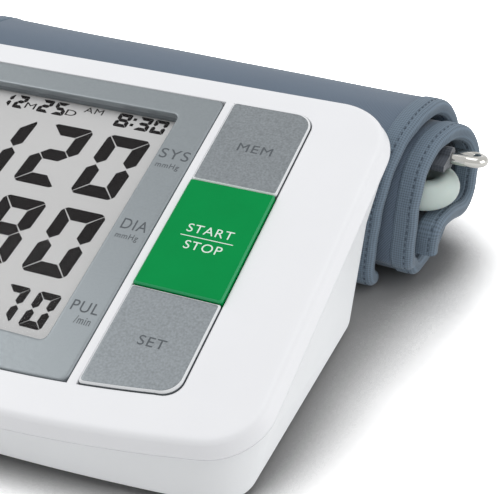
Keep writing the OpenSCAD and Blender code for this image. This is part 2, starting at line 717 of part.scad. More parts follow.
// Flush cover under the bay, with a sprung latch tongue and grip ribs
latch_w = 12;
latch_l = 10;
latch_slot = 0.9;
module battery_cover() {
    x0 = bay_x0 + cover_gap;
    x1 = bay_x1 - cover_gap;
    y0 = bay_y0 + cover_gap;
    y1 = bay_y1 - cover_gap;
    mid = (x0 + x1) / 2;
    color("gainsboro") placed() difference() {
        translate([x0, y0, base_z]) cube([x1 - x0, y1 - y0, wall]);
        for (x = [mid - latch_w / 2 - latch_slot, mid + latch_w / 2])
            translate([x, y1 - latch_l, base_z - cut]) cube([latch_slot, latch_l + cut, wall + 2 * cut]);
        translate([mid - latch_w / 2 + 2, y1 - 5, base_z - cut]) cube([latch_w - 4, 3, cut + 0.8]);
        for (k = [0:4]) translate([mid - 8, y0 + 8 + 2 * k, base_z - cut]) cube([16, 0.8, cut + 0.4]);
    }
}

// Cross-section of the roll, in the cuff's frame: Y across, Z up, about the roll's middle
cloth_t = 2 * ply_t + bladder_t + 2 * ply_gap;
base_square = 5;
top_square = 2.2;
function roll_spot(a, inset) =
    let (c = cos(a), s = sin(a), n = s >= 0 ? top_square : base_square,
         y = (roll_a - inset) * sign(c) * pow(abs(c), 2 / n), z = (roll_b - inset) * sign(s) * pow(abs(s), 2 / n))
    [y + roll_lean * z, z];
function bezier(p, t) =
    pow(1 - t, 3) * p[0] + 3 * t * pow(1 - t, 2) * p[1] + 3 * t * t * (1 - t) * p[2] + pow(t, 3) * p[3];
// The outer end hangs at the front; the sheet runs up, over the top, round the back and under,
// then one step further in up the front again, and ends in an S-bend under the hose
start_a = 246;
// Share of a turn at which the sheet steps in under its own outer end
step_from = 0.9;
turn_count = 1 + start_a / 360;
turn_steps = 44;
function turn_inset(t) = turn_step * smooth((t - step_from) / (1 - step_from));
turns_path = [for (i = [0:turn_steps]) let (t = turn_count * i / turn_steps) roll_spot(start_a - 360 * t, turn_inset(t))];
// Height of the roll's middle when its lowest turn lies on the table
roll_z = cloth_t / 2 + binding_over - min([for (p = turns_path) p.y]);
bend_in = roll_spot(0, turn_step);
bend_mid = [-4.3, -4.5];
bend_out = [-9.6, -12.6];
s_bend = concat(
    [for (i = [1:6]) bezier([bend_in, bend_in + [-0.4, -12.6], bend_mid + [7.2, 0], bend_mid], i / 6)],
    [for (i = [1:6]) bezier([bend_mid, bend_mid - [8, 0], bend_out + [0, 6], bend_out], i / 6)]);
roll_path = concat(turns_path, s_bend);
path_n = len(roll_path);
function path_dir(i) =
    let (d = roll_path[min(i + 1, path_n - 1)] - roll_path[max(i - 1, 0)]) d / norm(d);
// Right edge of the sheet along the path
function edge_x(i) =
    let (t = turn_count * min(i, turn_steps) / turn_steps)
    roll_right + first_drift * smooth((t - 0.1) / 0.6) + second_drift * smooth((t - 1.28) / 0.38)
    - 2.7 * smooth((i - turn_steps) / 12);
// Points of the sheet's section s, pairs of distance from the right edge and offset across the sheet
function sheet_ring(i, s) =
    let (d = path_dir(i), p = roll_path[i])
    [for (q = s) [edge_x(i) + q.x, p.x - d.y * q.y, p.y + d.x * q.y]];
module sheet(s, i0, i1) { skin([for (i = [i0:i1]) sheet_ring(i, s)]); }

// The cuff's own frame, turned a little about the vertical, with the roll's middle as its origin
module in_roll() {
    placed() translate([roll_right, roll_y, roll_z]) rotate([0, 0, cuff_yaw]) translate([-roll_right, 0, 0]) children();
}
function box_section(x0, x1, n0, n1) = [[x0, n0], [x0, n1], [x1, n1], [x1, n0]];
ply_n = cloth_t / 2;
cloth_x0 = -cuff_w + binding_w;
cloth_x1 = -binding_w;

module cuff_outer_cloth() {
    color("slategray") in_roll() sheet(box_section(cloth_x0, cloth_x1, ply_n - ply_t, ply_n), 0, path_n - 1);
}
module cuff_lining() {
    color("dimgray") in_roll() sheet(box_section(cloth_x0, cloth_x1, -ply_n, -ply_n + ply_t), 0, path_n - 1);
}
// Distance of the bladder from the edge of the cloth
bladder_in = 6;
port_l = 16;
pad_l = 8;
pad_lap = 1.15;
pad_drop = 4.5;
module air_bladder() {
    color("black") in_roll() sheet(box_section(cloth_x0 + bladder_in, cloth_x1 - bladder_in, -bladder_t / 2, bladder_t / 2), 6, path_n - 8);
}
function tape_section(x0, x1) =
    let (n = ply_n + binding_over, s = sign(x1 - x0))
    s > 0 ? [[x0, -n], [x0, n], [x1 - 1.4, n], [x1, n * 0.5], [x1, -n * 0.5], [x1 - 1.4, -n]]
          : [[x1, -n * 0.5], [x1, n * 0.5], [x1 + 1.4, n], [x0, n], [x0, -n], [x1 + 1.4, -n]];
module right_binding() { color("lightslategray") in_roll() sheet(tape_section(cloth_x1 + 0.1, 0), 0, path_n - 1); }
module left_binding() { color("lightslategray") in_roll() sheet(tape_section(cloth_x0 - 0.1, -cuff_w), 0, path_n - 1); }

// Long metal loop: its near bar turns in the hem
hem_at = [1.4, 10.3];
ring_x1 = 92.4;
ring_x0 = -58;
ring_rise = -16;
module in_ring() { in_roll() translate([0, hem_at.x, hem_at.y]) rotate([ring_rise, 0, 0]) children(); }
module cuff_ring() {
    end_r = ring_pitch / 2;
    color("silver") in_ring() {
        for (y = [0, ring_pitch]) translate([ring_x0 + end_r, y, 0]) rotate([0, 90, 0])
            cylinder(h = ring_x1 - ring_x0 - 2 * end_r, r = ring_wire_r);
        for (e = [[ring_x1 - end_r, -90], [ring_x0 + end_r, 90]]) translate([e.x, end_r, 0]) rotate([0, 0, e.y])
            rotate_extrude(angle = 180) translate([end_r, 0]) circle(ring_wire_r);
    }
}
hem_x0 = -50;
hem_x1 = 85;
strap_l = 7.35;
strap_t = 1.8;
module ring_hem() {
    color("slategray") in_roll() translate([hem_x0, hem_at.x, hem_at.y]) rotate([90, 0, 90]) difference() {
        linear_extrude(hem_x1 - hem_x0) union() {
            circle(hem_r);
            translate([-strap_l + 0.5, -strap_t / 2]) square([strap_l, strap_t]);
        }
        translate([0, 0, -cut]) cylinder(h = hem_x1 - hem_x0 + 2 * cut, r = ring_wire_r + run_gap);
    }
    color("slategray") in_roll() translate([hem_x0, hem_at.x - strap_l, hem_at.y - strap_t / 2])
        cube([hem_x1 - hem_x0 - binding_w - 4, 2, strap_t]);
}

// Route of the hose in the cuff's frame: from its port in the roll to the right end, back through
// the hollow, out at the left end, down to the table and along the back of the roll
table = -roll_z + hose_r;
hose_near = -7.4;
hose_far = 4.6;
hose_z = 2.2;
hose_right = 84.4;
hose_route = [[-30, hose_near, hose_z], [0, hose_near, hose_z], [30, hose_near, hose_z], [60, hose_near, hose_z],
              [hose_right - 7.6, hose_near, hose_z], [hose_right - 2.2, hose_near + 2, hose_z],
              [hose_right, (hose_near + hose_far) / 2, hose_z], [hose_right - 2.2, hose_far - 2, hose_z],
              [hose_right - 7.6, hose_far, hose_z], [60, hose_far, hose_z],
              [30, hose_far, hose_z], [0, hose_far, hose_z], [-30, hose_far, hose_z], [-60, hose_far, hose_z],
              [-74, 5.5, hose_z - 1.4], [-88, 11, -7], [-95, 22, table + 4], [-93, 34, table + 0.5], [-82, 41, table], [-66, 42, table],
              [-44, 41, table], [-22, 40, table], [2, 39, table + 0.3], [20, 38, table + plug_r - hose_r]];
hose_sides = 10;
hose_cuts = 3;
// Smooth curve through the route's points
function route_spot(k, t) =
    let (n = len(hose_route), p0 = hose_route[max(k - 1, 0)], p1 = hose_route[k],
         p2 = hose_route[min(k + 1, n - 1)], p3 = hose_route[min(k + 2, n - 1)])
    0.5 * (2 * p1 + (p2 - p0) * t + (2 * p0 - 5 * p1 + 4 * p2 - p3) * t * t + (3 * p1 - p0 - 3 * p2 + p3) * t * t * t);
hose_line = concat([for (k = [0:len(hose_route) - 2]) for (j = [0:hose_cuts - 1]) route_spot(k, j / hose_cuts)],
                   [hose_route[len(hose_route) - 1]]);
function tube_ring(line, i, r, sides, up) =
    let (n = len(line), d0 = line[min(i + 1, n - 1)] - line[max(i - 1, 0)], d = d0 / norm(d0),
         s0 = cross(d, up), s = s0 / norm(s0), u = cross(s, d))
    [for (k = [0:sides - 1]) line[i] + r * (cos(360 * k / sides) * s + sin(360 * k / sides) * u)];
module air_hose() {
    color("honeydew") in_roll() skin([for (i = [0:len(hose_line) - 1]) tube_ring(hose_line, i, hose_r, hose_sides, [0, 0, 1])]);
}
hose_gap = min([for (i = [0:3:len(hose_line) - 1]) for (j = [i + 9:3:len(hose_line) - 1])
    norm(hose_line[i] - hose_line[j]) - 2 * hose_r]);
echo(hose_self_gap = hose_gap);
echo(hose_length = ([for (i = [0:len(hose_line) - 2]) norm(hose_line[i + 1] - hose_line[i])] * [for (i = [0:len(hose_line) - 2]) 1]));

// Rubber port where the hose leaves the bladder, seated on the lining
module bladder_port() {
    p = hose_route[0];
    color("black") in_roll() {
        translate([p.x - port_l, p.y, p.z]) rotate([0, 90, 0]) cylinder(h = port_l, r1 = hose_r - 1, r2 = hose_r);
        translate([p.x - port_l - pad_l / 2, p.y - hose_r + pad_lap, p.z - pad_drop]) cube([pad_l, hose_r, pad_l]);
    }
}

// Plug for the air socket, at the hose's free end
module air_plug() {
    p = hose_route[len(hose_route) - 1];
    q = hose_route[len(hose_route) - 2];
    turn = atan2(p.y - q.y, p.x - q.x);
    color("lightgray") in_roll() translate(p) rotate([0, 0, turn]) rotate([0, 90, 0]) {
        rotate_extrude() polygon([[0, 0], [hose_r, 0], [plug_r, 3], [plug_r, plug_l], [plug_r - 1, plug_l + 1],
            [socket_bore_r - 0.1, plug_l + 1], [socket_bore_r - 0.1, plug_l + 10], [socket_bore_r - 0.7, plug_l + 11], [0, plug_l + 11]]);
    }
}

upper_case();
lower_case();
rubber_feet();
case_screws();
display_panel();
display_lens();
display_cell();
cell_frame_ring();
contact_strips();
mem_key();
start_key();
set_key();
key_switches();
main_board();
board_screws();
buzzer();
pressure_sensor();
pump_motor();
pump_head();
pump_crank();
pump_cradle();
valve_body();
valve_plunger();
air_manifold();
inner_tubes();
air_socket();
battery_cells();
battery_contacts();
battery_springs();
battery_bay();
battery_cover();
cuff_outer_cloth();
cuff_lining();
air_bladder();
right_binding();
left_binding();
cuff_ring();
ring_hem();
bladder_port();
air_hose();
air_plug();
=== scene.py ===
"""Dressed model of an upper arm blood pressure monitor with its rolled cuff.

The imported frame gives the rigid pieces. This script lays smooth shells over the
case, panel and keys, draws the display's figures, and makes the cuff's cloths,
tapes, stitches and hose as surfaces worked out with numpy. Sizes are in
millimetres and go into the meshes in metres.
"""

from __future__ import annotations

import logging
import math
from dataclasses import dataclass
from enum import Enum
from typing import Any, Sequence

import bmesh
import bpy
import numpy as np
from mathutils import Matrix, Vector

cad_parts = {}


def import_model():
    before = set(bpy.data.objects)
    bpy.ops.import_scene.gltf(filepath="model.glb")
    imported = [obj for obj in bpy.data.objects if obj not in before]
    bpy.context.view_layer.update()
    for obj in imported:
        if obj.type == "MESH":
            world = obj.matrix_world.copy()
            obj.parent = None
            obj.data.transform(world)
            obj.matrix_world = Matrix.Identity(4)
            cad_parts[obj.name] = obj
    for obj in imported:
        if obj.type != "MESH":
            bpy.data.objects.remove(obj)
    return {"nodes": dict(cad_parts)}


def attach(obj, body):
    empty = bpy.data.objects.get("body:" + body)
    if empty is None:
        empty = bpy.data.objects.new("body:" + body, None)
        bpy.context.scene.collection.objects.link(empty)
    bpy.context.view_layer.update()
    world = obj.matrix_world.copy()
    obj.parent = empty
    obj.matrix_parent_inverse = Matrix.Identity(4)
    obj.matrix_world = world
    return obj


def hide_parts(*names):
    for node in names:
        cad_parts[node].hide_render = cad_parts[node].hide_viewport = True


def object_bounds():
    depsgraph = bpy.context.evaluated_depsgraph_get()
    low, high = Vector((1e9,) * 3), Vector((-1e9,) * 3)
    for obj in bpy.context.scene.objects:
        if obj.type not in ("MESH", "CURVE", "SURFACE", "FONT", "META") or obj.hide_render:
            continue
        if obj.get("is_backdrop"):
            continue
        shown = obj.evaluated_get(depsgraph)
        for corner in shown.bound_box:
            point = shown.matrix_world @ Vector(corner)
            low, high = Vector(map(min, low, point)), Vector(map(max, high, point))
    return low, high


LOG = logging.getLogger("monitor")
Array = np.ndarray
Colour = tuple[float, float, float]
Spot = tuple[float, float, float]
Box = tuple[float, float, float, float]
Radii = tuple[float, float, float, float]
Piece = bpy.types.Object
Node = bpy.types.Node

MM = 0.001
TURN = 2 * math.pi
# Way from the middle of the face to the part's origin, seen from above
SET = np.array([9.7, 20.0, 0.0])
SURFACE_MAP = "cloth"
ARC_CUTS = 40


def tone(code: str) -> Colour:
    """Turns a six-digit colour code into linear light.

    Args:
        code: red, green and blue as hexadecimal pairs.

    Returns:
        The linear red, green and blue.
    """
    part = np.array([int(code[i : i + 2], 16) for i in (0, 2, 4)]) / 255.0
    line = np.where(part <= 0.04045, part / 12.92, ((part + 0.055) / 1.055) ** 2.4)
    return tuple(float(c) for c in line)


def shade(colour: Colour, by: float) -> Colour:
    """The colour made lighter or darker by a share."""
    return tuple(min(1.0, c * (1.0 + by)) for c in colour)


def ease(t: Array) -> Array:
    """Smooth step: 3k^2 - 2k^3, with k held between 0 and 1."""
    k = np.clip(t, 0.0, 1.0)
    return k * k * (3.0 - 2.0 * k)


def wave(run: Array, length: float, lag: Array | float = 0.0) -> Array:
    """Sine of a given wavelength along a run, moved on by a lag in radians."""
    return np.sin(TURN * run / length + lag)


def cos_sin(degrees: float) -> tuple[float, float]:
    """Cosine and sine of an angle in degrees."""
    a = math.radians(degrees)
    return math.cos(a), math.sin(a)


def circle(count: int) -> Array:
    """Angles at equal steps round a circle, in radians."""
    return np.linspace(0, TURN, count, endpoint=False)


def unit(v: Array) -> Array:
    """Vectors cut to length one."""
    return v / np.linalg.norm(v, axis=-1, keepdims=True)


def run_along(path: Array) -> Array:
    """Length of a path from its start to each of its points."""
    return np.concatenate([[0.0], np.cumsum(np.linalg.norm(np.diff(path, axis=0), axis=1))])


def read_off(at: Array, run: Array, path: Array) -> Array:
    """Points of a path at given lengths, on straight lines between its own points."""
    return np.stack([np.interp(at, run, column) for column in path.T], axis=-1)


def surface_map(across: Array, along: Array) -> Array:
    """Places on a surface in metres, from millimetres across and along it."""
    return np.stack(np.broadcast_arrays(across * MM, along * MM), axis=-1)


# Meshes


def link(name: str, data: bpy.types.ID) -> Piece:
    """Puts new data into the scene.

    Args:
        name: the object's name.
        data: its mesh, text, lamp or camera.

    Returns:
        The new object, at the origin.
    """
    piece = bpy.data.objects.new(name, data)
    bpy.context.scene.collection.objects.link(piece)
    return piece


def grid_quads(rows: int, cols: int, loop_rows: bool) -> Array:
    """Faces of a grid whose columns close up: each point, its right, diagonal and upper neighbour.

    Args:
        rows: points along the first parameter.
        cols: points along the second parameter.
        loop_rows: whether the last row joins the first.

    Returns:
        An array of four corners per face.
    """
    r, c = np.meshgrid(np.arange(rows if loop_rows else rows - 1), np.arange(cols), indexing="ij")
    r1, c1 = (r + 1) % rows, (c + 1) % cols
    corners = [r * cols + c, r * cols + c1, r1 * cols + c1, r1 * cols + c]
    return np.stack(corners, axis=-1).reshape(-1, 4)


def turn_out(mesh: bpy.types.Mesh) -> None:
    """Makes the faces of a closed mesh point outwards.

    Args:
        mesh: the mesh, changed in place.
    """
    work = bmesh.new()
    work.from_mesh(mesh)
    bmesh.ops.recalc_face_normals(work, faces=work.faces[:])
    work.to_mesh(mesh)
    work.free()


def make_piece(
    name: str,
    points: Array,
    quads: Array,
    caps: Sequence[Array] = (),
    uv: Array | None = None,
    crease: float = 40.0,
) -> Piece:
    """Puts points and faces into a new object that sits at the origin.

    Args:
        name: the object's name.
        points: corners in millimetres, in the part's frame.
        quads: four corners per face.
        caps: rings of corners, each closed by one flat face.
        uv: place of each corner on the surface, in metres.
        crease: angle in degrees above which an edge stays sharp.

    Returns:
        The new object.
    """
    mesh = bpy.data.meshes.new(name)
    flat = np.asarray(points, float).reshape(-1, 3) * MM
    loops = np.concatenate([quads.ravel(), *caps]).astype(np.int32)
    sizes = np.concatenate([np.full(len(quads), 4), [len(c) for c in caps]]).astype(np.int32)
    starts = (np.cumsum(sizes) - sizes).astype(np.int32)
    mesh.vertices.add(len(flat))
    mesh.vertices.foreach_set("co", flat.astype(np.float32).ravel())
    mesh.loops.add(len(loops))
    mesh.loops.foreach_set("vertex_index", loops)
    mesh.polygons.add(len(sizes))
    mesh.polygons.foreach_set("loop_start", starts)
    mesh.update(calc_edges=True)
    if uv is not None:
        layer = mesh.uv_layers.new(name=SURFACE_MAP)
        layer.data.foreach_set("uv", uv.reshape(-1, 2)[loops].astype(np.float32).ravel())
    mesh.validate()
    turn_out(mesh)
    mesh.polygons.foreach_set("use_smooth", np.ones(len(mesh.polygons), bool))
    mesh.set_sharp_from_angle(angle=math.radians(crease))
    return link(name, mesh)


def loft(
    name: str,
    rings: Array,
    closed: bool = False,
    uv: Array | None = None,
    crease: float = 60.0,
) -> Piece:
    """Closed skin through rings: row i, column j joins row i+1 and column j+1.

    Args:
        name: the object's name.
        rings: rings by points by three, in millimetres.
        closed: whether the last ring joins the first, in place of two end caps.
        uv: place of each point on the surface, in metres.
        crease: angle in degrees above which an edge stays sharp.

    Returns:
        The new object.
    """
    rows, cols = rings.shape[:2]
    ring = np.arange(cols)
    caps = () if closed else (ring[::-1], (rows - 1) * cols + ring)
    return make_piece(name, rings, grid_quads(rows, cols, closed), caps, uv, crease)


# Finishes


class Tree:
    """A node tree, with short calls to add and join nodes."""

    def __init__(self, owner: bpy.types.Material | bpy.types.World) -> None:
        """Empties the owner's node tree.

        Args:
            owner: the material or world.
        """
        owner.use_nodes = True
        self.tree = owner.node_tree
        self.tree.nodes.clear()

    @staticmethod
    def fill(node: Node, sockets: dict[str | int, Any]) -> None:
        """Sets a node's inputs by name or number."""
        for key, value in sockets.items():
            node.inputs[key].default_value = value

    def add(self, kind: str, sockets: dict[str | int, Any] | None = None, **settings: Any) -> Node:
        """Adds a node.

        Args:
            kind: the node's type, after the prefix that all of them share.
            sockets: values of its inputs, by name or number.
            settings: its own settings.

        Returns:
            The new node.
        """
        node = self.tree.nodes.new("ShaderNode" + kind)
        for key, value in settings.items():
            setattr(node, key, value)
        self.fill(node, sockets or {})
        return node

    def join(self, a: Node, out: str | int, b: Node, into: str | int) -> None:
        """Joins an output of node a to an input of node b."""
        self.tree.links.new(a.outputs[out], b.inputs[into])

    def sum(self, operation: str, by: Node, out: str | int, level: float) -> Node:
        """Works out a number from an output and a fixed level.

        Args:
            operation: the kind of sum.
            by: node that gives the first number.
            out: its output.
            level: the second number.

        Returns:
            The node with the result.
        """
        node = self.add("Math", {1: level}, operation=operation)
        self.join(by, out, node, 0)
        return node

    def spread(
        self, by: Node, out: str | int, low: float, high: float, ends: tuple[float, float] = (0, 1)
    ) -> Node:
        """Runs a number from low to high as an output goes from one end to the other.

        Args:
            by: node that gives the number.
            out: its output.
            low: result at the first end.
            high: result at the second end.
            ends: the output's values there.

        Returns:
            The node with the result.
        """
        levels = {"From Min": ends[0], "From Max": ends[1], "To Min": low, "To Max": high}
        node = self.add("MapRange", levels)
        self.join(by, out, node, "Value")
        return node

    def seen(self) -> Node:
        """Tells what is seen from what is lit.

        Returns:
            A node that gives 1 to rays from the camera, a mirror or clear plastic, and else 0.
        """
        path = self.add("LightPath")
        total = self.sum("MAXIMUM", path, "Is Camera Ray", 0.0)
        for name in ("Is Glossy Ray", "Is Transmission Ray"):
            node = self.sum("MAXIMUM", path, name, 0.0)
            self.join(total, 0, node, 1)
            total = node
        return total


class Surface(Tree):
    """A material's node tree with one surface shader."""

    # Noise lies mostly between these two values
    NOISE_ENDS = (0.3, 0.7)

    def __init__(self, name: str) -> None:
        """Makes a material with a plain shader.

        Args:
            name: the material's name.
        """
        self.material = bpy.data.materials.new(name)
        super().__init__(self.material)
        self.shader = self.add("BsdfPrincipled")
        self.join(self.shader, "BSDF", self.add("OutputMaterial"), "Surface")

    def place(self, surface: bool) -> tuple[Node, str]:
        """Finds the coordinates that a pattern follows.

        Args:
            surface: whether these are the surface map's, and not the piece's own.

        Returns:
            The node and the name of its output.
        """
        if surface:
            return self.add("UVMap", uv_map=SURFACE_MAP), "UV"
        return self.add("TexCoord"), "Object"

    def noise(self, size: float, detail: float, surface: bool = False) -> Node:
        """Cloudy pattern with features of about the given size.

        Args:
            size: feature size in millimetres.
            detail: octaves of finer pattern.
            surface: whether it follows the surface map.

        Returns:
            The noise node.
        """
        node = self.add("TexNoise", {"Scale": 1.0 / (size * MM), "Detail": detail})
        self.join(*self.place(surface), node, "Vector")
        return node

    def mixed(self, a: Node, b: Node, share: float) -> Node:
        """Weighs two patterns: share x a + (1 - share) x b.

        Args:
            a: the first pattern.
            b: the second pattern.
            share: weight of the first.

        Returns:
            The node with the result.
        """
        total = self.sum("MULTIPLY_ADD", a, "Fac", share)
        self.join(self.sum("MULTIPLY", b, "Fac", 1.0 - share), 0, total, 2)
        return total

    def tint(
        self,
        by: Node,
        out: str,
        code: str,
        less: float,
        more: float,
        ends: tuple[float, float] = NOISE_ENDS,
    ) -> None:
        """Colours the shader from darker to lighter as an output goes from one end to the other.

        Args:
            by: node that gives the pattern.
            out: its output.
            code: colour code in the middle.
            less: share by which it is darker at the first end.
            more: share by which it is lighter at the second end.
            ends: the output's values there.
        """
        ramp = self.add("ValToRGB")
        for end, at, by_share in zip(ramp.color_ramp.elements, ends, (-less, more)):
            end.position, end.color = at, (*shade(tone(code), by_share), 1.0)
        self.join(by, out, ramp, "Fac")
        self.join(ramp, "Color", self.shader, "Base Color")

    def gloss(self, by: Node, low: float, high: float) -> None:
        """Varies the shader's roughness from low to high with a pattern."""
        rough = self.spread(by, "Fac", low, high, self.NOISE_ENDS)
        self.join(rough, "Result", self.shader, "Roughness")

    def bump(self, by: Node, out: str, height: float, strength: float) -> None:
        """Relief on the shader from an output.

        Args:
            by: node that gives the height.
            out: its output.
            height: depth of the relief in millimetres.
            strength: share of the relief that shows.
        """
        node = self.add("Bump", {"Strength": strength, "Distance": height * MM})
        self.join(by, out, node, "Height")
        self.join(node, "Normal", self.shader, "Normal")


@dataclass(frozen=True)
class Moulded:
    """Moulded plastic or rubber: faint mottling, fine grain and uneven gloss."""

    name: str
    code: str
    rough: float = 0.42
    mottle: float = 0.02
    mottle_size: float = 14.0
    grain_size: float = 0.5
    grain_depth: float = 0.012
    specular: float = 0.45
    soft_glow: float = 0.0
    glow_depth: float = 2.0
    uneven: float = 0.04
    relief: float = 0.6

    def make(self) -> bpy.types.Material:
        """Builds the material: noise varies the colour and gloss, finer noise is the grain.

        Returns:
            The new material.
        """
        n = Surface(self.name)
        fine = n.noise(self.grain_size, 2.0)
        n.tint(n.noise(self.mottle_size, 3.0), "Fac", self.code, self.mottle, self.mottle)
        n.gloss(fine, self.rough - self.uneven, self.rough + self.uneven)
        n.fill(n.shader, {
            "Specular IOR Level": self.specular,
            "Subsurface Weight": self.soft_glow,
            "Subsurface Scale": self.glow_depth * MM,
        })
        n.bump(fine, "Fac", self.grain_depth, self.relief)
        return n.material


@dataclass(frozen=True)
class Flaked:
    """Plastic with metal flakes: bright and dark specks over the base colour."""

    name: str
    code: str
    fleck: float = 0.12
    fleck_size: float = 0.55
    fleck_share: float = 0.85
    fleck_depth: float = 0.01
    cloud_size: float = 30.0
    rough: float = 0.36
    uneven: float = 0.08
    metal: float = 0.25
    relief: float = 0.5

    def make(self) -> bpy.types.Material:
        """Builds the material: two sizes of noise mixed give the specks and their relief.

        Returns:
            The new material.
        """
        n = Surface(self.name)
        fleck = n.noise(self.fleck_size, 4.0)
        mix = n.mixed(fleck, n.noise(self.cloud_size, 1.0), self.fleck_share)
        n.tint(mix, "Value", self.code, self.fleck, self.fleck)
        n.gloss(fleck, self.rough - self.uneven, self.rough + self.uneven)
        n.fill(n.shader, {"Metallic": self.metal})
        n.bump(fleck, "Fac", self.fleck_depth, self.relief)
        return n.material


class Weave(Enum):
    """How a cloth's threads cross: turn in degrees and weight of the first set."""

    PLAIN = (0.0, 0.5)
    TWILL = (38.0, 0.8)


@dataclass(frozen=True)
class Cloth:
    """Woven cloth: crossing threads on the surface map, with sheen and faint creases."""

    name: str
    code: str
    weave: Weave
    pitch: float = 0.8
    depth: float = 0.12
    contrast: float = 0.16
    sheen: float = 0.25
    cloud_size: float = 26.0
    cloud_share: float = 0.5
    tint_ends: tuple[float, float] = (0.35, 1.0)
    stray: float = 0.6
    stray_scale: float = 0.4
    rough: tuple[float, float] = (0.62, 0.78)
    sheen_rough: float = 0.45
    specular: float = 0.3
    relief: float = 0.55

    def threads(self, n: Surface, along: str, turn: float) -> Node:
        """One set of threads: a sine wave across the surface map.

        Args:
            n: the node tree.
            along: axis that the wave runs along, X or Y.
            turn: turn of the pattern in degrees.

        Returns:
            The wave node.
        """
        # Blender's wave repeats every pi / 10 of its scaled coordinates
        levels = {
            "Scale": math.pi / 10.0 / (self.pitch * MM),
            "Distortion": self.stray,
            "Detail Scale": self.stray_scale,
        }
        thread = n.add("TexWave", levels, bands_direction=along)
        way = n.add("Mapping", {"Rotation": (0.0, 0.0, math.radians(turn))})
        n.join(*n.place(True), way, "Vector")
        n.join(way, "Vector", thread, "Vector")
        return thread

    def make(self) -> bpy.types.Material:
        """Builds the material: two thread waves weighed together give the weave's height.

        Returns:
            The new material.
        """
        n = Surface(self.name)
        turn, share = self.weave.value
        cross = n.mixed(self.threads(n, "X", turn), self.threads(n, "Y", turn), share)
        cloud = n.noise(self.cloud_size, 4.0, True)
        height = n.sum("MULTIPLY_ADD", cloud, "Fac", self.cloud_share)
        n.join(cross, "Value", height, 2)
        n.tint(height, "Value", self.code, self.contrast, self.contrast, self.tint_ends)
        n.gloss(cloud, *self.rough)
        n.fill(n.shader, {
            "Sheen Weight": self.sheen,
            "Sheen Roughness": self.sheen_rough,
            "Specular IOR Level": self.specular,
        })
        n.bump(cross, "Value", self.depth, self.relief)
        return n.material


@dataclass(frozen=True)
class Metal:
    """Bare or plated metal with faint uneven gloss."""

    name: str
    code: str
    rough: float
    cloud_size: float = 5.0
    cloud_tint: tuple[float, float] = (0.04, 0.03)
    polish: tuple[float, float] = (0.7, 1.4)

    def make(self) -> bpy.types.Material:
        """Builds the material: noise varies the tint and the gloss.

        Returns:
            The new material.
        """
        n = Surface(self.name)
        cloud = n.noise(self.cloud_size, 3.0)
        n.tint(cloud, "Fac", self.code, *self.cloud_tint)
        n.gloss(cloud, *(self.rough * share for share in self.polish))
        n.fill(n.shader, {"Metallic": 1.0})
        return n.material


@dataclass(frozen=True)
class ClearSheet:
    """Thin clear plastic that lets almost everything through."""

    name: str
    alpha: float = 0.03
    grey: float = 0.2
    haze_size: float = 9.0
    rough: tuple[float, float] = (0.05, 0.09)

    def make(self) -> bpy.types.Material:
        """Builds the material: a glossy shader that is nearly see-through.

        Returns:
            The new material.
        """
        n = Surface(self.name)
        n.gloss(n.noise(self.haze_size, 2.0), *self.rough)
        n.fill(n.shader, {"Base Color": (*(self.grey,) * 3, 1.0), "Alpha": self.alpha})
        n.material.blend_method = "BLEND"
        return n.material


# The case


@dataclass(frozen=True)
class FaceFrame:
    """The sloping face: u to the right, v up the slope, w out of the face."""

    tilt: float = 18.2
    height: float = 32.8

    def world(self, p: Array) -> Array:
        """Turns face points by the tilt about X, then lifts and shifts them.

        Args:
            p: points as u, v, w.

        Returns:
            Points in the part's frame.
        """
        c, s = cos_sin(self.tilt)
        u, v, w = p[..., 0], p[..., 1], p[..., 2]
        return np.stack([u, v * c - w * s, self.height + v * s + w * c], axis=-1) - SET


def raised(outline: Array, w: float) -> Array:
    """Outline with a third coordinate of w."""
    return np.column_stack([outline, np.full(len(outline), w)])


def corner(cx: float, cy: float, r: float, a0: float, a1: float) -> Array:
    """Arc about a corner's centre from angle a0 to a1, in degrees."""
    a = np.radians(np.linspace(a0, a1, ARC_CUTS))
    return np.stack([cx + r * np.cos(a), cy + r * np.sin(a)], axis=-1)


def dense(outline: Array, count: int = 4000) -> Array:
    """Points at equal steps along a closed outline.

    Args:
        outline: the outline's corners.
        count: number of points.

    Returns:
        The evenly spaced points.
    """
    loop = np.vstack([outline, outline[:1]])
    run = run_along(loop)
    return read_off(np.linspace(0.0, run[-1], count, endpoint=False), run, loop)


def headings(points: Array, centre: Array) -> Array:
    """Directions from a centre to points, in radians."""
    return np.arctan2(points[:, 1] - centre[1], points[:, 0] - centre[0])


def by_angle(outline: Array, centre: Array, angles: Array) -> Array:
    """Points of a star-shaped outline at given directions from its centre.

    The outline's distance from the centre is read off at each angle.

    Args:
        outline: the outline's corners.
        centre: the point that the directions start from.
        angles: directions in radians.

    Returns:
        One point per direction.
    """
    points = dense(outline)
    a, r = headings(points, centre), np.linalg.norm(points - centre, axis=1)
    order = np.argsort(a)
    out = np.interp(angles, a[order], r[order], period=TURN)
    return centre + np.stack([out * np.cos(angles), out * np.sin(angles)], axis=-1)


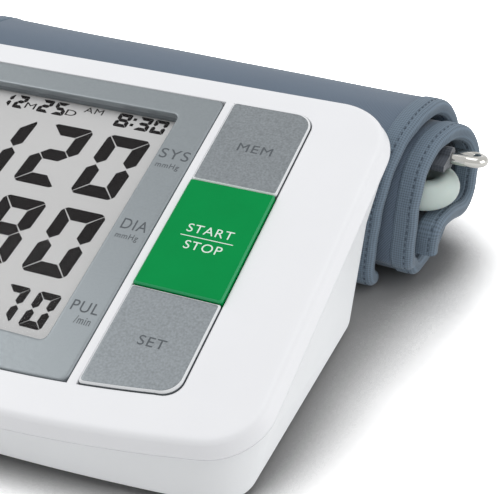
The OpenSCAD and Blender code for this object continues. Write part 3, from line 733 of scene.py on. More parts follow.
@dataclass(frozen=True)
class Bowed:
    """Outline with straight sides and a bowed front edge."""

    half: float
    front: float
    back: float
    bow: float
    front_r: float
    back_r: float
    bow_cuts: int = 200

    def grown(self, off: float) -> Array:
        """Corner arcs joined by an arc of the bow's radius.

        Args:
            off: how far the outline is grown.

        Returns:
            The outline's points, anticlockwise from the right front corner.
        """
        rf, rb = self.front_r, self.back_r
        mid, xc, xb, yb = self.bow - self.front, self.half - rf, self.half - rb, self.back - rb
        yc = mid - math.sqrt((self.bow - rf) ** 2 - xc * xc)
        a = math.degrees(math.atan2(yc - mid, xc))
        arc = np.radians(np.linspace(180 - a, 360 + a, self.bow_cuts)[1:-1])
        r = self.bow + off
        return np.vstack([
            corner(xc, yc, rf + off, a, 0),
            corner(xb, yb, rb + off, 0, 90),
            corner(-xb, yb, rb + off, 90, 180),
            corner(-xc, yc, rf + off, 180, 180 - a),
            np.stack([r * np.cos(arc), mid + r * np.sin(arc)], axis=-1),
        ])


@dataclass
class CaseTop:
    """Upper case, display panel and the white bar beside the keys."""

    face: FaceFrame
    edge: Bowed = Bowed(half=73.0, front=54.75, back=54.75, bow=320.0, front_r=13.0, back_r=14.0)
    rim_out: float = 1.7
    rim_drop: float = 3.6
    parting: float = 4.8
    lip: float = 0.42
    groove: tuple[float, float] = (0.3, 0.35)
    wall: float = 2.2
    face_wall: float = 3.0
    crease_r: float = 0.9
    panel_x: tuple[float, float] = (-54.0, 29.25)
    strip_x: tuple[float, float] = (32.0, 54.0)
    panel_top: float = 47.25
    panel_l: float = 91.75
    panel_bow: float = 285.0
    panel_t: float = 1.5
    panel_proud: float = 0.1
    panel_soft: float = 0.22
    seat_grow: float = 0.24
    corner_r: float = 4.5
    window: Box = (-44.5, -34.65, 19.5, 40.05)
    window_r: float = 1.8
    bar_gaps: tuple[float, float] = (0.2, 0.25)
    bar_r: float = 0.25
    bar_lap: float = 0.5
    samples: int = 520

    def low_edge(self, x: Array, grow: float) -> Array:
        """Bowed lower edge of the panel and keys: a circle of the bow's radius."""
        mid = self.panel_top - self.panel_l + self.panel_bow
        return mid - np.sqrt((self.panel_bow + grow) ** 2 - np.square(x))

    def plate(
        self,
        x: tuple[float, float],
        grow: float,
        radii: Radii,
        y0: float | None = None,
        y1: float | None = None,
    ) -> Array:
        """Outline of a plate with rounded corners and a straight or bowed lower edge.

        Args:
            x: left and right edge.
            grow: how far the outline stands out all round.
            radii: corner radii, from the lower left one round to the upper left one.
            y0: straight lower edge, or None for the bow.
            y1: upper edge, or None for the panel's.

        Returns:
            The outline's points, anticlockwise.
        """
        a, b = x[0] - grow, x[1] + grow
        top = (self.panel_top if y1 is None else y1) + grow
        bl, br, tr, tl = radii
        xs = np.linspace(a + bl, b - br, 120)
        low = self.low_edge(xs, grow) if y0 is None else np.full_like(xs, y0 - grow)
        return np.vstack([
            corner(a + bl, low[0] + bl, bl, 180, 270),
            np.stack([xs, low], axis=-1)[1:-1],
            corner(b - br, low[-1] + br, br, 270, 360),
            corner(b - tr, top - tr, tr, 0, 90),
            corner(a + tl, top - tl, tl, 90, 180),
        ])

    def opening(self, grow: float) -> Array:
        """Outline of the face's opening for panel and keys, grown all round."""
        return self.plate((self.panel_x[0], self.strip_x[1]), grow, (self.corner_r,) * 4)

    def panel_outline(self, grow: float) -> Array:
        """Outline of the panel, grown all round."""
        r, s = self.corner_r, self.window_r
        return self.plate(self.panel_x, grow, (r, s, s, r))

    def window_outline(self, grow: float) -> Array:
        """Outline of the display window, grown all round."""
        x0, y0, x1, y1 = self.window
        return self.plate((x0, x1), grow, (self.window_r,) * 4, y0, y1)

    def ringed(
        self,
        name: str,
        base: tuple[Array, Array],
        rows: Sequence[tuple[Array, float]],
        closed: bool = True,
        crease: float = 50.0,
    ) -> Piece:
        """Skin of a piece: each row is an outline at its own height.

        Args:
            name: the piece's name.
            base: point that all the outlines go round, and points whose directions they take.
            rows: outlines and their heights out of the face.
            closed: whether the last row joins the first.
            crease: angle in degrees above which an edge stays sharp.

        Returns:
            The new piece.
        """
        centre, points = base
        angles = headings(points, centre)
        rings = np.array([raised(by_angle(o, centre, angles), w) for o, w in rows])
        return loft(name, self.face.world(rings), closed, crease=crease)

    def shell(self) -> Piece:
        """Upper shell: lip, groove, bevelled rim, rounded crease, flat face and the opening's edge.

        Returns:
            The new piece.
        """
        k, out, drop, part = self.crease_r, self.rim_out, self.rim_drop, self.parting
        low, (wide, deep) = part - self.lip, self.groove
        inside = out - self.wall
        outer = [
            (out - 0.3, part), (out - 0.06, part - 0.12), (out - 0.02, low),
            (out - deep, low - wide * 0.3), (out - deep, low - wide * 0.7), (out, low - wide),
            (out, drop + 0.3), (out - 0.05, drop + 0.1), (out - 0.22, drop - 0.25),
            (out - 0.5, drop - 0.6), (0.55, k * 1.2), (0.3, k * 0.86), (-0.05, k * 0.5),
            (-0.45, k * 0.2), (-k, 0.04), (-k - 0.6, 0.0), (-k - 1.5, 0.0),
        ]
        hole = [
            (0.9, 0.0), (0.55, 0.0), (0.4, 0.03), (0.3, 0.12), (0.25, 0.3), (0.25, self.face_wall),
        ]
        inner = [(-self.wall * 0.6, self.face_wall), (inside, drop), (inside, part)]
        rows = [(self.edge.grown(off), -d) for off, d in outer]
        rows += [(self.opening(off), -d) for off, d in hole]
        rows += [(self.edge.grown(off), -d) for off, d in inner]
        base = np.zeros(2), dense(self.edge.grown(0.0), self.samples)
        return self.ringed("case_shell", base, rows)

    def framed(self, name: str, grow: float, low: float, high: float, soft: float) -> Piece:
        """Plate of the panel's outline, open over the display, with softened edges.

        Args:
            name: the piece's name.
            grow: how far it stands out past the panel's outline.
            low: height of its underside.
            high: height of its upper side.
            soft: rounding of the upper edges.

        Returns:
            The new piece.
        """
        near = soft * 0.3
        outer = [
            (grow, low), (grow, high - soft), (grow - near, high - near), (grow - soft, high),
            (grow - soft - 0.6, high),
        ]
        inner = [
            (soft + 0.5, high), (soft, high), (near, high - near), (0.0, high - soft), (0.0, low),
        ]
        rows = [(self.panel_outline(off), w) for off, w in outer]
        rows += [(self.window_outline(off), w) for off, w in inner]
        centre = np.reshape(self.window, (2, 2)).mean(axis=0)
        return self.ringed(name, (centre, dense(self.panel_outline(0.0), self.samples)), rows)

    def seat(self) -> Piece:
        """Ledge under the panel, from the panel's outline in to the window; its dark grey finish is
        painted shade of the recess wall.
        """
        gap = 0.02
        return self.framed("panel_seat", self.seat_grow, -self.face_wall, -self.panel_t - gap, gap)

    def panel(self) -> Piece:
        """Grey panel, standing a hair above the face."""
        return self.framed("panel_plate", 0.0, -self.panel_t, self.panel_proud, self.panel_soft)

    def bar(self) -> Piece:
        """White bar of the face between the panel and the keys, with rounded edges.

        Returns:
            The new piece.
        """
        x0, x1 = self.panel_x[1] + self.bar_gaps[0], self.strip_x[0] - self.bar_gaps[1]
        r, a = self.bar_r, np.radians(np.linspace(0, 90, 7))
        right = np.stack([x1 - r + r * np.cos(a), -r + r * np.sin(a)], axis=-1)
        left = np.stack([x0 + x1 - right[::-1, 0], right[::-1, 1]], axis=-1)
        x, w = np.vstack([right, left, [[x0, -self.face_wall], [x1, -self.face_wall]]]).T
        top = np.full(len(x), self.panel_top + self.bar_lap)
        rings = np.array([
            np.column_stack([x, v, w]) for v in (self.low_edge(x, self.bar_lap), top)
        ])
        return loft("face_bar", self.face.world(rings), crease=50.0)


@dataclass
class WallSkin:
    """Smooth skin over the lower case's walls, left open around the air socket."""

    top: CaseTop
    base: Bowed = Bowed(half=71.6, front=50.4, back=40.0, bow=520.0, front_r=9.5, back_r=17.0)
    foot: float = 1.5
    edge: float = 1.0
    step: float = 0.7
    tuck: tuple[float, float] = (0.7, 0.45)
    tuck_reach: float = 30.0
    skin: float = 0.06
    depth: float = 0.1
    rows: int = 26

    def rounding(self, a: float) -> Array:
        """Ring of the underside's rounded edge at angle a."""
        outline = self.base.grown(-self.edge * (1 - math.sin(a)))
        return raised(outline, self.foot + self.edge * (1 - math.cos(a)))

    def make(self) -> Piece:
        """Skin in straight lines from the underside to a tucked ring and on to the parting line.

        The tucked ring lies at a share of the way up, with a smaller share of the way back behind
        the middle. The skin runs from the left front corner round to the left back corner.

        Returns:
            The new piece.
        """
        case = self.top
        rim = raised(case.edge.grown(case.rim_out - self.step), -case.parting)
        up = case.face.world(rim) + SET
        foot = raised(self.base.grown(0.0), self.foot + self.edge)
        high, less = self.tuck
        share = np.full_like(foot, high)
        share[:, 1] -= less * ease(foot[:, 1] / self.tuck_reach)
        mid = foot + (up - foot) * share
        edge = [self.rounding(a) for a in np.linspace(0.35, 1.5, 6)]
        t = np.linspace(0, 1, self.rows)[:, None, None]
        rows = np.concatenate([edge, foot + (mid - foot) * t[:-1], mid + (up - mid) * t])
        rows = np.roll(rows, -3 * ARC_CUTS, axis=1)
        out = unit(np.cross(np.gradient(rows, axis=1), np.gradient(rows, axis=0)))
        out *= np.sign((out * (rows - rows.mean(axis=(0, 1)))).sum(axis=-1).mean())
        shell = np.concatenate([rows + out * self.skin, (rows - out * self.depth)[::-1]]) - SET
        return loft("wall_skin", np.swapaxes(shell, 0, 1), crease=50.0)


@dataclass(frozen=True)
class Key:
    """One key: its node, place in the strip, edges, corner radii and height above the face.

    An edge of None is the strip's own.
    """

    node: str
    at: str
    low: float | None
    high: float | None
    radii: Radii
    proud: float


@dataclass
class KeyStrip:
    """The three keys in one strip, each a cap with a paler ring over its bevel as painted
    highlight.
    """

    case: CaseTop
    key_l: float = 28.0
    gap: float = 0.35
    chamfer: float = 0.32
    skin: float = 0.03
    foot: float = 4.3
    sharp_r: float = 0.5
    blunt_r: float = 0.8
    heights: tuple[float, float] = (0.7, 1.1)
    samples: int = 320

    def keys(self) -> tuple[Key, ...]:
        """Divides the strip.

        Returns:
            The upper, middle and lower key.
        """
        case, half = self.case, self.gap / 2
        first = case.panel_top - self.key_l
        second = float(case.low_edge(np.array(case.strip_x[0]), 0.0)) + self.key_l
        r, s, b = case.corner_r, self.sharp_r, self.blunt_r
        side, middle = self.heights
        return (
            Key("mem_key", "upper", first + half, None, (s, s, r, b), side),
            Key("start_key", "middle", second + half, first - half, (s, s, s, s), middle),
            Key("set_key", "lower", None, second - half, (b, r, s, s), side),
        )

    def shape(self, key: Key, grow: float) -> Array:
        """Outline of a cap, grown all round."""
        return self.case.plate(self.case.strip_x, grow, key.radii, key.low, key.high)

    def skinned(self, name: str, key: Key, rows: list[tuple[float, float]], closed: bool) -> Piece:
        """Skin round a key through a profile.

        Args:
            name: the piece's name.
            key: the key.
            rows: way in from the outline and height out of the face, row by row.
            closed: whether the last row joins the first.

        Returns:
            The new piece.
        """
        points = dense(self.shape(key, 0.0), self.samples)
        outlines = [(self.shape(key, -inward), w) for inward, w in rows]
        base, crease = (points.mean(axis=0), points), 50.0 if closed else 60.0
        return self.case.ringed(f"{name}_{key.at}", base, outlines, closed, crease)

    def cap(self, key: Key) -> Piece:
        """Key cap: straight sides, a bevelled rim and a faintly sunk flat top.

        Args:
            key: the key.

        Returns:
            The new piece.
        """
        c, p = self.chamfer, key.proud
        rows = [
            (2.0, -self.foot), (0.0, -self.foot + 1.2), (0.0, -0.1), (0.03, p - c),
            (0.12, p - c * 0.7), (c * 0.8, p - 0.12), (c * 0.97, p - 0.04), (c * 1.2, p),
            (c * 2.5, p - 0.02),
        ]
        return self.skinned("key_cap", key, rows, False)

    def edge(self, key: Key) -> Piece:
        """Painted highlight on a cap's bevel: a thin, paler closed ring over the chamfer.

        Args:
            key: the key.

        Returns:
            The new piece.
        """
        c, k, p = self.chamfer, self.skin, key.proud
        low = p - c - 0.2
        rows = [
            (-k, low), (-k, p - c), (0.08, p - c * 0.62), (c * 0.75, p - 0.04), (c, p + k),
            (c * 1.1, p + k), (c * 1.15, p - 0.2), (0.2, low),
        ]
        return self.skinned("key_rim_highlight", key, rows, True)


@dataclass(frozen=True)
class Label:
    """A word in a box on the face, with its height, finish and the body that it rides on."""

    name: str
    text: str
    box: Box
    height: float
    finish: str = "label_grey"
    body: str = "monitor"

    THICK = 0.03
    SPACING = 1.12
    EXTRUDE = 0.01

    def make(self, face: FaceFrame) -> Piece:
        """Sets the word and fits its bounds to the box.

        Args:
            face: frame of the face.

        Returns:
            The new piece, a mesh at the origin.
        """
        curve = bpy.data.curves.new(self.name, "FONT")
        curve.body, curve.space_character = self.text, self.SPACING
        curve.extrude = self.EXTRUDE
        draft = link(self.name + "_draft", curve)
        graph = bpy.context.evaluated_depsgraph_get()
        mesh = bpy.data.meshes.new_from_object(draft.evaluated_get(graph))
        bpy.data.objects.remove(draft)
        bpy.data.curves.remove(curve)
        co = np.zeros(len(mesh.vertices) * 3)
        mesh.vertices.foreach_get("co", co)
        co = co.reshape(-1, 3)
        low, high = co.min(axis=0), co.max(axis=0)
        share = (co - low) / np.maximum(high - low, 1e-9)
        left, foot, right, top = self.box
        spots = [left, foot, self.height] + share * [right - left, top - foot, self.THICK]
        mesh.vertices.foreach_set("co", (face.world(spots) * MM).astype(np.float32).ravel())
        mesh.name = self.name
        mesh.update()
        return link(self.name, mesh)


ON_DISPLAY, ON_PANEL, ON_SIDE_KEY, ON_MIDDLE_KEY = -3.2, 0.1, 0.68, 1.08
LABELS = (
    Label("label_month", "M", (-25.2, 35.2, -22.1, 37.4), ON_DISPLAY, "figure_black"),
    Label("label_day", "D", (-12.9, 35.5, -9.8, 37.6), ON_DISPLAY, "figure_black"),
    Label("label_half", "AM", (-8.2, 37.7, -2.7, 39.7), ON_DISPLAY, "figure_black"),
    Label("label_upper", "SYS", (20.4, 24.6, 28.3, 27.9), ON_PANEL),
    Label("label_upper_unit", "mmHg", (20.9, 20.9, 27.2, 23.1), ON_PANEL),
    Label("label_lower", "DIA", (21.3, 0.4, 28.0, 3.6), ON_PANEL),
    Label("label_lower_unit", "mmHg", (21.3, -3.1, 27.2, -0.9), ON_PANEL),
    Label("label_pulse", "PUL", (20.9, -25.2, 27.8, -22.2), ON_PANEL),
    Label("label_pulse_unit", "/min", (23.4, -28.4, 27.4, -26.2), ON_PANEL),
    Label("label_mem", "MEM", (39.0, 31.2, 48.0, 33.8), ON_SIDE_KEY, body="mem_key"),
    Label("label_start", "START", (37.7, 2.9, 49.3, 5.4), ON_MIDDLE_KEY, "label_pale", "start_key"),
    Label("label_line", "-", (36.9, 1.55, 50.2, 1.78), ON_MIDDLE_KEY, "label_pale", "start_key"),
    Label("label_stop", "STOP", (39.0, -2.1, 48.4, 0.4), ON_MIDDLE_KEY, "label_pale", "start_key"),
    Label("label_set", "SET", (40.1, -30.0, 46.6, -27.4), ON_SIDE_KEY, body="set_key"),
)


@dataclass(frozen=True)
class FigureRow:
    """A row of figures: its text, lower left corner, and each figure's size, bar and step."""

    text: str
    u: float
    v: float
    wide: float
    high: float
    bar: float
    pitch: float


@dataclass
class Figures:
    """Figures of the display, built from seven bars each."""

    face: FaceFrame
    depth: float = 3.2
    thick: float = 0.05
    lean: float = 0.055
    dot: float = 0.9
    dots: tuple[tuple[float, float], ...] = ((6.25, 35.9), (6.4, 38.0))
    rows: tuple[FigureRow, ...] = (
        FigureRow("120", -31.7, 10.3, 12.2, 21.5, 3.7, 16.6),
        FigureRow("80", -15.1, -15.7, 12.2, 21.2, 3.7, 16.6),
        FigureRow("70", 1.0, -30.7, 6.0, 10.5, 2.0, 8.2),
        FigureRow("8", 1.7, 34.9, 3.9, 4.95, 1.1, 4.5),
        FigureRow("30", 7.7, 34.9, 3.9, 4.95, 1.1, 4.55),
        FigureRow("12", -33.2, 34.6, 3.3, 4.9, 1.1, 4.4),
        FigureRow("25", -21.4, 34.8, 3.6, 4.8, 1.1, 4.5),
    )

    # Bars of each figure: a on top, then clockwise to f, and g in the middle
    BARS = {
        "0": "abcdef", "1": "bc", "2": "abged", "3": "abgcd", "5": "afgcd", "7": "abc",
        "8": "abcdefg",
    }
    SIDES = 6

    @staticmethod
    def shapes(row: FigureRow) -> dict[str, Array]:
        """Outlines of the seven bars: mitred ends, blunt outer corners and points at mid height.

        Args:
            row: the row that the figure belongs to.

        Returns:
            Six corners per bar, by letter.
        """
        w, h, t = row.wide, row.high, row.bar
        gap, mid, half, blunt = t * 0.07, h / 2, t * 0.5, t * 0.3
        side, step = 0.35 * blunt, 0.45 * blunt
        # Inner edges of the outer bars, drawn back by the gap where two bars meet
        near, far, top, foot = t + gap, w - t - gap, h - t, h - t - gap
        out = {
            "a": [
                (gap + blunt, h), (w - gap - blunt, h), (w - gap - side, h - step), (far, top),
                (near, top), (gap + side, h - step),
            ],
            "b": [
                (w, h - gap - blunt), (w, mid + half), (w - half, mid + gap), (w - t, mid + half),
                (w - t, foot), (w - step, h - gap - side),
            ],
            "f": [
                (0, h - gap - blunt), (step, h - gap - side), (t, foot), (t, mid + half),
                (half, mid + gap), (0, mid + half),
            ],
            "g": [
                (half + gap, mid), (near, mid + half), (far, mid + half), (w - half - gap, mid),
                (far, mid - half), (near, mid - half),
            ],
        }
        for low, up in (("d", "a"), ("c", "b"), ("e", "f")):
            out[low] = (np.array(out[up]) * [1, -1] + [0, h])[::-1]
        return {letter: np.array(bar, float) for letter, bar in out.items()}

    def bars(self, row: FigureRow) -> list[Array]:
        """Lays out a row of figures.

        Args:
            row: the row.

        Returns:
            Outlines of its bars on the face.
        """
        cell = self.shapes(row)
        slant = np.array([[1.0, 0.0], [self.lean, 1.0]])
        return [
            cell[bar] @ slant + [row.u + i * row.pitch, row.v]
            for i, figure in enumerate(row.text)
            for bar in self.BARS[figure]
        ]

    def make(self) -> Piece:
        """All the figures as one piece: each bar is a low six-sided prism.

        Returns:
            The new piece.
        """
        square = self.dot * np.array([(0, 0), (0.5, 0), (1, 0), (1, 1), (0.5, 1), (0, 1)])
        bars = [bar for row in self.rows for bar in self.bars(row)]
        flat = np.array(bars + [square + at for at in self.dots])
        low = np.concatenate([flat, np.full((*flat.shape[:2], 1), -self.depth)], axis=-1)
        points = self.face.world(np.stack([low, low + [0.0, 0.0, self.thick]], axis=1))
        start, side = np.arange(len(flat))[:, None] * 2 * self.SIDES, np.arange(self.SIDES)
        quads = grid_quads(2, self.SIDES, False)[None] + start[..., None]
        caps = [*(start + self.SIDES + side), *(start + side[::-1])]
        return make_piece("display_figures", points, quads.reshape(-1, 4), caps, crease=20.0)


# The cuff


@dataclass
class Roll:
    """Path of the rolled cuff across the roll, with its frame and its edge line."""

    half_d: float = 19.0
    half_h: float = 20.9
    squares: tuple[float, float] = (2.2, 5.0)
    lean: float = 0.16
    step: float = 5.0
    step_from: float = 0.9
    start: float = 246.0
    bend_mid: tuple[float, float] = (-4.3, -4.5)
    bend_end: tuple[float, float] = (-9.6, -12.6)
    bend_pulls: tuple[tuple[float, float], ...] = ((-0.4, -12.6), (7.2, 0), (-8.0, 0), (0, 6.0))
    # Way to the right, turn that it starts at, turns that it takes
    drifts: tuple[tuple[float, float, float], ...] = ((8.9, 0.1, 0.6), (7.3, 1.28, 0.38))
    bend_drift: float = -2.7
    right: float = 73.0
    yaw: float = -2.8
    back: float = 64.2
    lift: float = 22.627
    width: float = 143.0
    tape: float = 6.0
    ply: float = 1.1
    slack: float = 0.2
    bladder: float = 1.0
    count: int = 420

    def __post_init__(self) -> None:
        """Works out the path at equal steps, its directions and its right edge.

        The path goes round the roll, steps in under its own start, and ends in an S-bend. The
        edge drifts to the right in two eased steps and back a little along the bend.
        """
        turns = 1 + self.start / 360
        t, k = np.linspace(0, turns, 600), np.linspace(0, 1, 90)[1:]
        inset = self.step * ease((t - self.step_from) / (1 - self.step_from))
        around = self.spot(self.start - 360 * t, inset)
        turned = self.spot(np.zeros(1), np.array([self.step]))[0]
        mid, end = np.array(self.bend_mid), np.array(self.bend_end)
        a, b, c, d = self.bend_pulls
        first = self.curve(turned, turned + a, mid + b, mid, k)
        second = self.curve(mid, mid + c, end + d, end, k)
        path = np.vstack([around, first, second])
        turn = np.concatenate([t, np.full(2 * len(k), turns)])
        bend = np.concatenate([np.zeros(len(t)), k / 2, 0.5 + k / 2])
        edge = self.right + self.bend_drift * ease(bend)
        edge += sum(way * ease((turn - start) / over) for way, start, over in self.drifts)
        run = run_along(path)
        self.length = float(run[-1])
        self.run = np.linspace(0, self.length, self.count)
        self.path = read_off(self.run, run, path)
        self.edge = np.interp(self.run, run, edge)
        self.way = unit(np.gradient(self.path, axis=0))

    def spot(self, angle: Array, inset: Array) -> Array:
        """Points of a leaning superellipse.

        Args:
            angle: direction of each point, in degrees.
            inset: how far it is drawn in.

        Returns:
            Points across and up the roll.
        """
        c, s = np.cos(np.radians(angle)), np.sin(np.radians(angle))
        n = np.where(s >= 0, *self.squares)
        y = (self.half_d - inset) * np.sign(c) * np.abs(c) ** (2 / n)
        z = (self.half_h - inset) * np.sign(s) * np.abs(s) ** (2 / n)
        return np.stack([y + self.lean * z, z], axis=-1)

    @staticmethod
    def curve(a: Array, b: Array, c: Array, d: Array, t: Array) -> Array:
        """Cubic curve from a to d, drawn towards b and c."""
        t = t[:, None]
        return (1 - t) ** 3 * a + 3 * t * (1 - t) ** 2 * b + 3 * t * t * (1 - t) * c + t**3 * d

    @property
    def half_t(self) -> float:
        """Half of the cuff's thickness."""
        return self.ply + self.slack + self.bladder / 2

    def world(self, p: Array) -> Array:
        """Turns points of the roll about the vertical at its right end and sets them down.

        Args:
            p: points along, across and up the roll.

        Returns:
            Points in the part's frame.
        """
        c, s = cos_sin(self.yaw)
        x, y, z = p[..., 0] - self.right, p[..., 1], p[..., 2]
        at = [self.right, self.back, self.lift]
        return np.stack([x * c - y * s, x * s + y * c, z], axis=-1) + at - SET

    def carried(self, off: Array, rise: Array, rows: slice = slice(None)) -> Array:
        """Carries a section along the path: off runs along the roll, rise stands off the path.

        Args:
            off: distance of each section point from the right edge, per path point.
            rise: its distance from the path's middle, per path point.
            rows: stretch of the path.

        Returns:
            Points in the part's frame, path by section.
        """
        p, d, e = self.path[rows, None], self.way[rows, None], self.edge[rows, None]
        y, z = p[..., 0] - d[..., 1] * rise, p[..., 1] + d[..., 0] * rise
        return self.world(np.stack(np.broadcast_arrays(e + off, y, z), axis=-1))


@dataclass
class Cuff:
    """Cloths, bladder, edge tapes, end hems and stitches of the rolled cuff."""

    roll: Roll
    lap: float = 0.4
    # Ripples have a height and a length, slow ones also a length across and a lag
    slow: tuple[tuple[float, ...], ...] = ((0.05, 61.0, 83.0, 0.0), (0.04, 29.0, -47.0, 1.3))
    pucker: tuple[float, float] = (0.1, 8.5)
    pucker_stray: tuple[float, float] = (1.5, 17.0)
    pucker_reach: float = 9.0
    sway: tuple[tuple[float, float], ...] = ((0.1, 23.0), (0.06, 9.1))
    sway_stray: tuple[float, float] = (0.7, 11.0)
    hem_sway: tuple[float, float] = (0.12, 31.0)
    over: float = 0.4
    fold_r: float = 1.9
    groove: tuple[float, float] = (0.24, 0.4)
    crown: float = 0.12
    thin: tuple[float, float] = (0.3, 0.7)
    straight_from: float = 5.0
    stitch_at: float = 2.1
    stitch_step: float = 1.7
    stitch_l: float = 1.15
    stitch_r: float = 0.19
    stitch_end: float = 0.05
    stitch_lift: float = 0.08
    hem_l: float = 6.0
    hem_nose: float = 1.1
    hem_over: float = 0.15
    hem_lap: float = 0.3
    bladder_edge: float = 6.0
    bladder_span: tuple[float, float] = (0.1, 0.87)
    bladder_powers: tuple[float, float] = (0.12, 0.5)

    def cloth(self, name: str, low: float, high: float) -> Piece:
        """One cloth ply: a thin section carried along the path, puckered beside the tapes.

        The pucker is a sine along the path that dies away from each tape, plus slow waves.

        Args:
            name: the piece's name.
            low: inner side, from the middle of the cuff.
            high: outer side.

        Returns:
            The new piece.
        """
        r, s = self.roll, self.roll.run[:, None]
        x = np.linspace(-r.width + r.tape - self.lap, -r.tape + self.lap, 90)
        reach = self.pucker_reach
        near = np.exp((r.tape + x) / reach) + np.exp((r.tape - r.width - x) / reach)
        rise = sum(h * wave(s, long, TURN * x / wide + lag) for h, long, wide, lag in self.slow)
        (height, length), (much, every) = self.pucker, self.pucker_stray
        rise = rise + height * near * wave(s, length, much * np.sin(s / every))
        off = np.concatenate([x, x[::-1]])[None]
        level = np.concatenate([rise + high, rise[:, ::-1] + low], axis=1)
        return loft(name, r.carried(off, level), uv=surface_map(off, s))

    def bladder(self) -> Piece:
        """Thin air bladder between the plies: a flat superellipse carried along the path.

        Returns:
            The new piece.
        """
        r, a = self.roll, circle(48)
        c, s = np.cos(a)[None], np.sin(a)[None]
        half, (flat, round_off) = r.width / 2 - r.tape - self.bladder_edge, self.bladder_powers
        off = half * np.sign(c) * np.abs(c) ** flat - r.width / 2
        rise = r.bladder / 2 * np.sign(s) * np.abs(s) ** round_off
        rows = slice(*(int(r.count * share) for share in self.bladder_span))
        uv = surface_map(off, r.run[rows, None])
        return loft("bladder_sheet", r.carried(off, rise, rows), uv=uv)

    def tape_level(self, x: Array) -> Array:
        """Half thickness of the tape at a distance from its outer edge.

        A rounded outer fold, a low crown, a groove at the stitches and a soft inner edge.

        Args:
            x: the distance.

        Returns:
            The half thickness there.
        """
        tape, seam, full = self.roll.tape, self.stitch_at, self.roll.half_t + self.over
        (deep, wide), (less, reach) = self.groove, self.thin
        fold = np.sqrt(np.clip(1 - np.clip(1 - x / self.fold_r, 0, None) ** 2, 0, 1))
        groove = deep * np.exp(-(((x - seam) / wide) ** 2))
        crown = self.crown * np.sin(np.clip((x - seam) / (tape - seam), 0, 1) * np.pi)
        inner = less * ease((x - tape + reach) / reach)
        return np.minimum(full * fold - groove + crown - inner, full)

    def tape(self, name: str, right: bool) -> Piece:
        """Edge tape folded over the cuff's edge, carried along the path with faint waves.

        Args:
            name: the piece's name.
            right: whether it is the right edge.

        Returns:
            The new piece.
        """
        r, s = self.roll, self.roll.run[:, None]
        nose = self.fold_r * (1 - np.cos(np.linspace(0, np.pi / 2, 10)))
        x = np.concatenate([nose, np.linspace(self.fold_r, r.tape, 26)[1:]])
        level = self.tape_level(x)
        fold = np.concatenate([-x[::-1], x[1:]])[None]
        side = np.concatenate([level[::-1], -level[1:]])[None]
        (large, long), (small, short) = self.sway
        much, every = self.sway_stray
        sway = large * wave(s, long, much * np.sin(s / every)) + small * wave(s, short)
        off = sway * (np.abs(fold) < self.straight_from) - np.abs(fold)
        if not right:
            off = -r.width - off
        return loft(name, r.carried(off, side), uv=surface_map(fold, s))

    def stitches(self, name: str, right: bool) -> Piece:
        """Row of stitches in both grooves of a tape: low capsules along the path.

        Args:
            name: the piece's name.
            right: whether it is the right edge.

        Returns:
            The new piece.
        """
        r, rings, sides = self.roll, 5, 6
        at = np.arange(self.stitch_step, r.length - self.stitch_step, self.stitch_step)
        p, d = (read_off(at, r.run, v).T[..., None, None] for v in (r.path, r.way))
        inward = self.stitch_at if right else r.width - self.stitch_at
        start = np.interp(at, r.run, r.edge) - inward
        k, a = np.linspace(-1, 1, rings)[:, None], circle(sides)
        size = self.stitch_r * np.sqrt(np.clip(1 + self.stitch_end - k**2, 0, 1))
        along, x = k * self.stitch_l / 2, start[:, None, None] + size * np.cos(a)
        base = float(self.tape_level(np.array(self.stitch_at))) + self.stitch_lift
        both = []
        for side in (base, -base):
            rise = side + size * np.sin(a)
            y, z = p[0] + d[0] * along - d[1] * rise, p[1] + d[1] * along + d[0] * rise
            both.append(np.stack([x, y, z], axis=-1))
        points = np.concatenate(both)
        first = np.arange(len(points))[:, None] * rings * sides
        quads = grid_quads(rings, sides, False)[None] + first[..., None]
        foot = first + np.arange(sides)[::-1]
        caps = [*foot, *(foot[:, ::-1] + (rings - 1) * sides)]
        return make_piece(name, r.world(points), quads.reshape(-1, 4), caps, crease=80.0)

    def end_hem(self, name: str, start: bool) -> Piece:
        """Folded hem across an end of the cuff: a rounded section carried along the roll.

        Args:
            name: the piece's name.
            start: whether it is the outer end.

        Returns:
            The new piece.
        """
        r, i, inward = (self.roll, 0, 1.0) if start else (self.roll, -1, -1.0)
        p, d, edge = r.path[i], r.way[i], r.edge[i]
        a = np.linspace(np.pi / 2, 3 * np.pi / 2, 17)
        half, lap = r.half_t + self.hem_over, self.hem_lap
        run = np.concatenate([[self.hem_l], self.hem_nose * np.cos(a), [self.hem_l]])
        rise = np.concatenate([[half], half * np.sin(a), [-half]])
        x = np.linspace(edge - r.width + r.tape - lap, edge - r.tape + lap, 60)[:, None]
        way = inward * (run + self.hem_sway[0] * wave(x, self.hem_sway[1]))
        y, z = p[0] + d[0] * way - d[1] * rise, p[1] + d[1] * way + d[0] * rise
        points = np.stack(np.broadcast_arrays(x, y, z), axis=-1)
        return loft(name, r.world(points), uv=surface_map(x, run[None]))


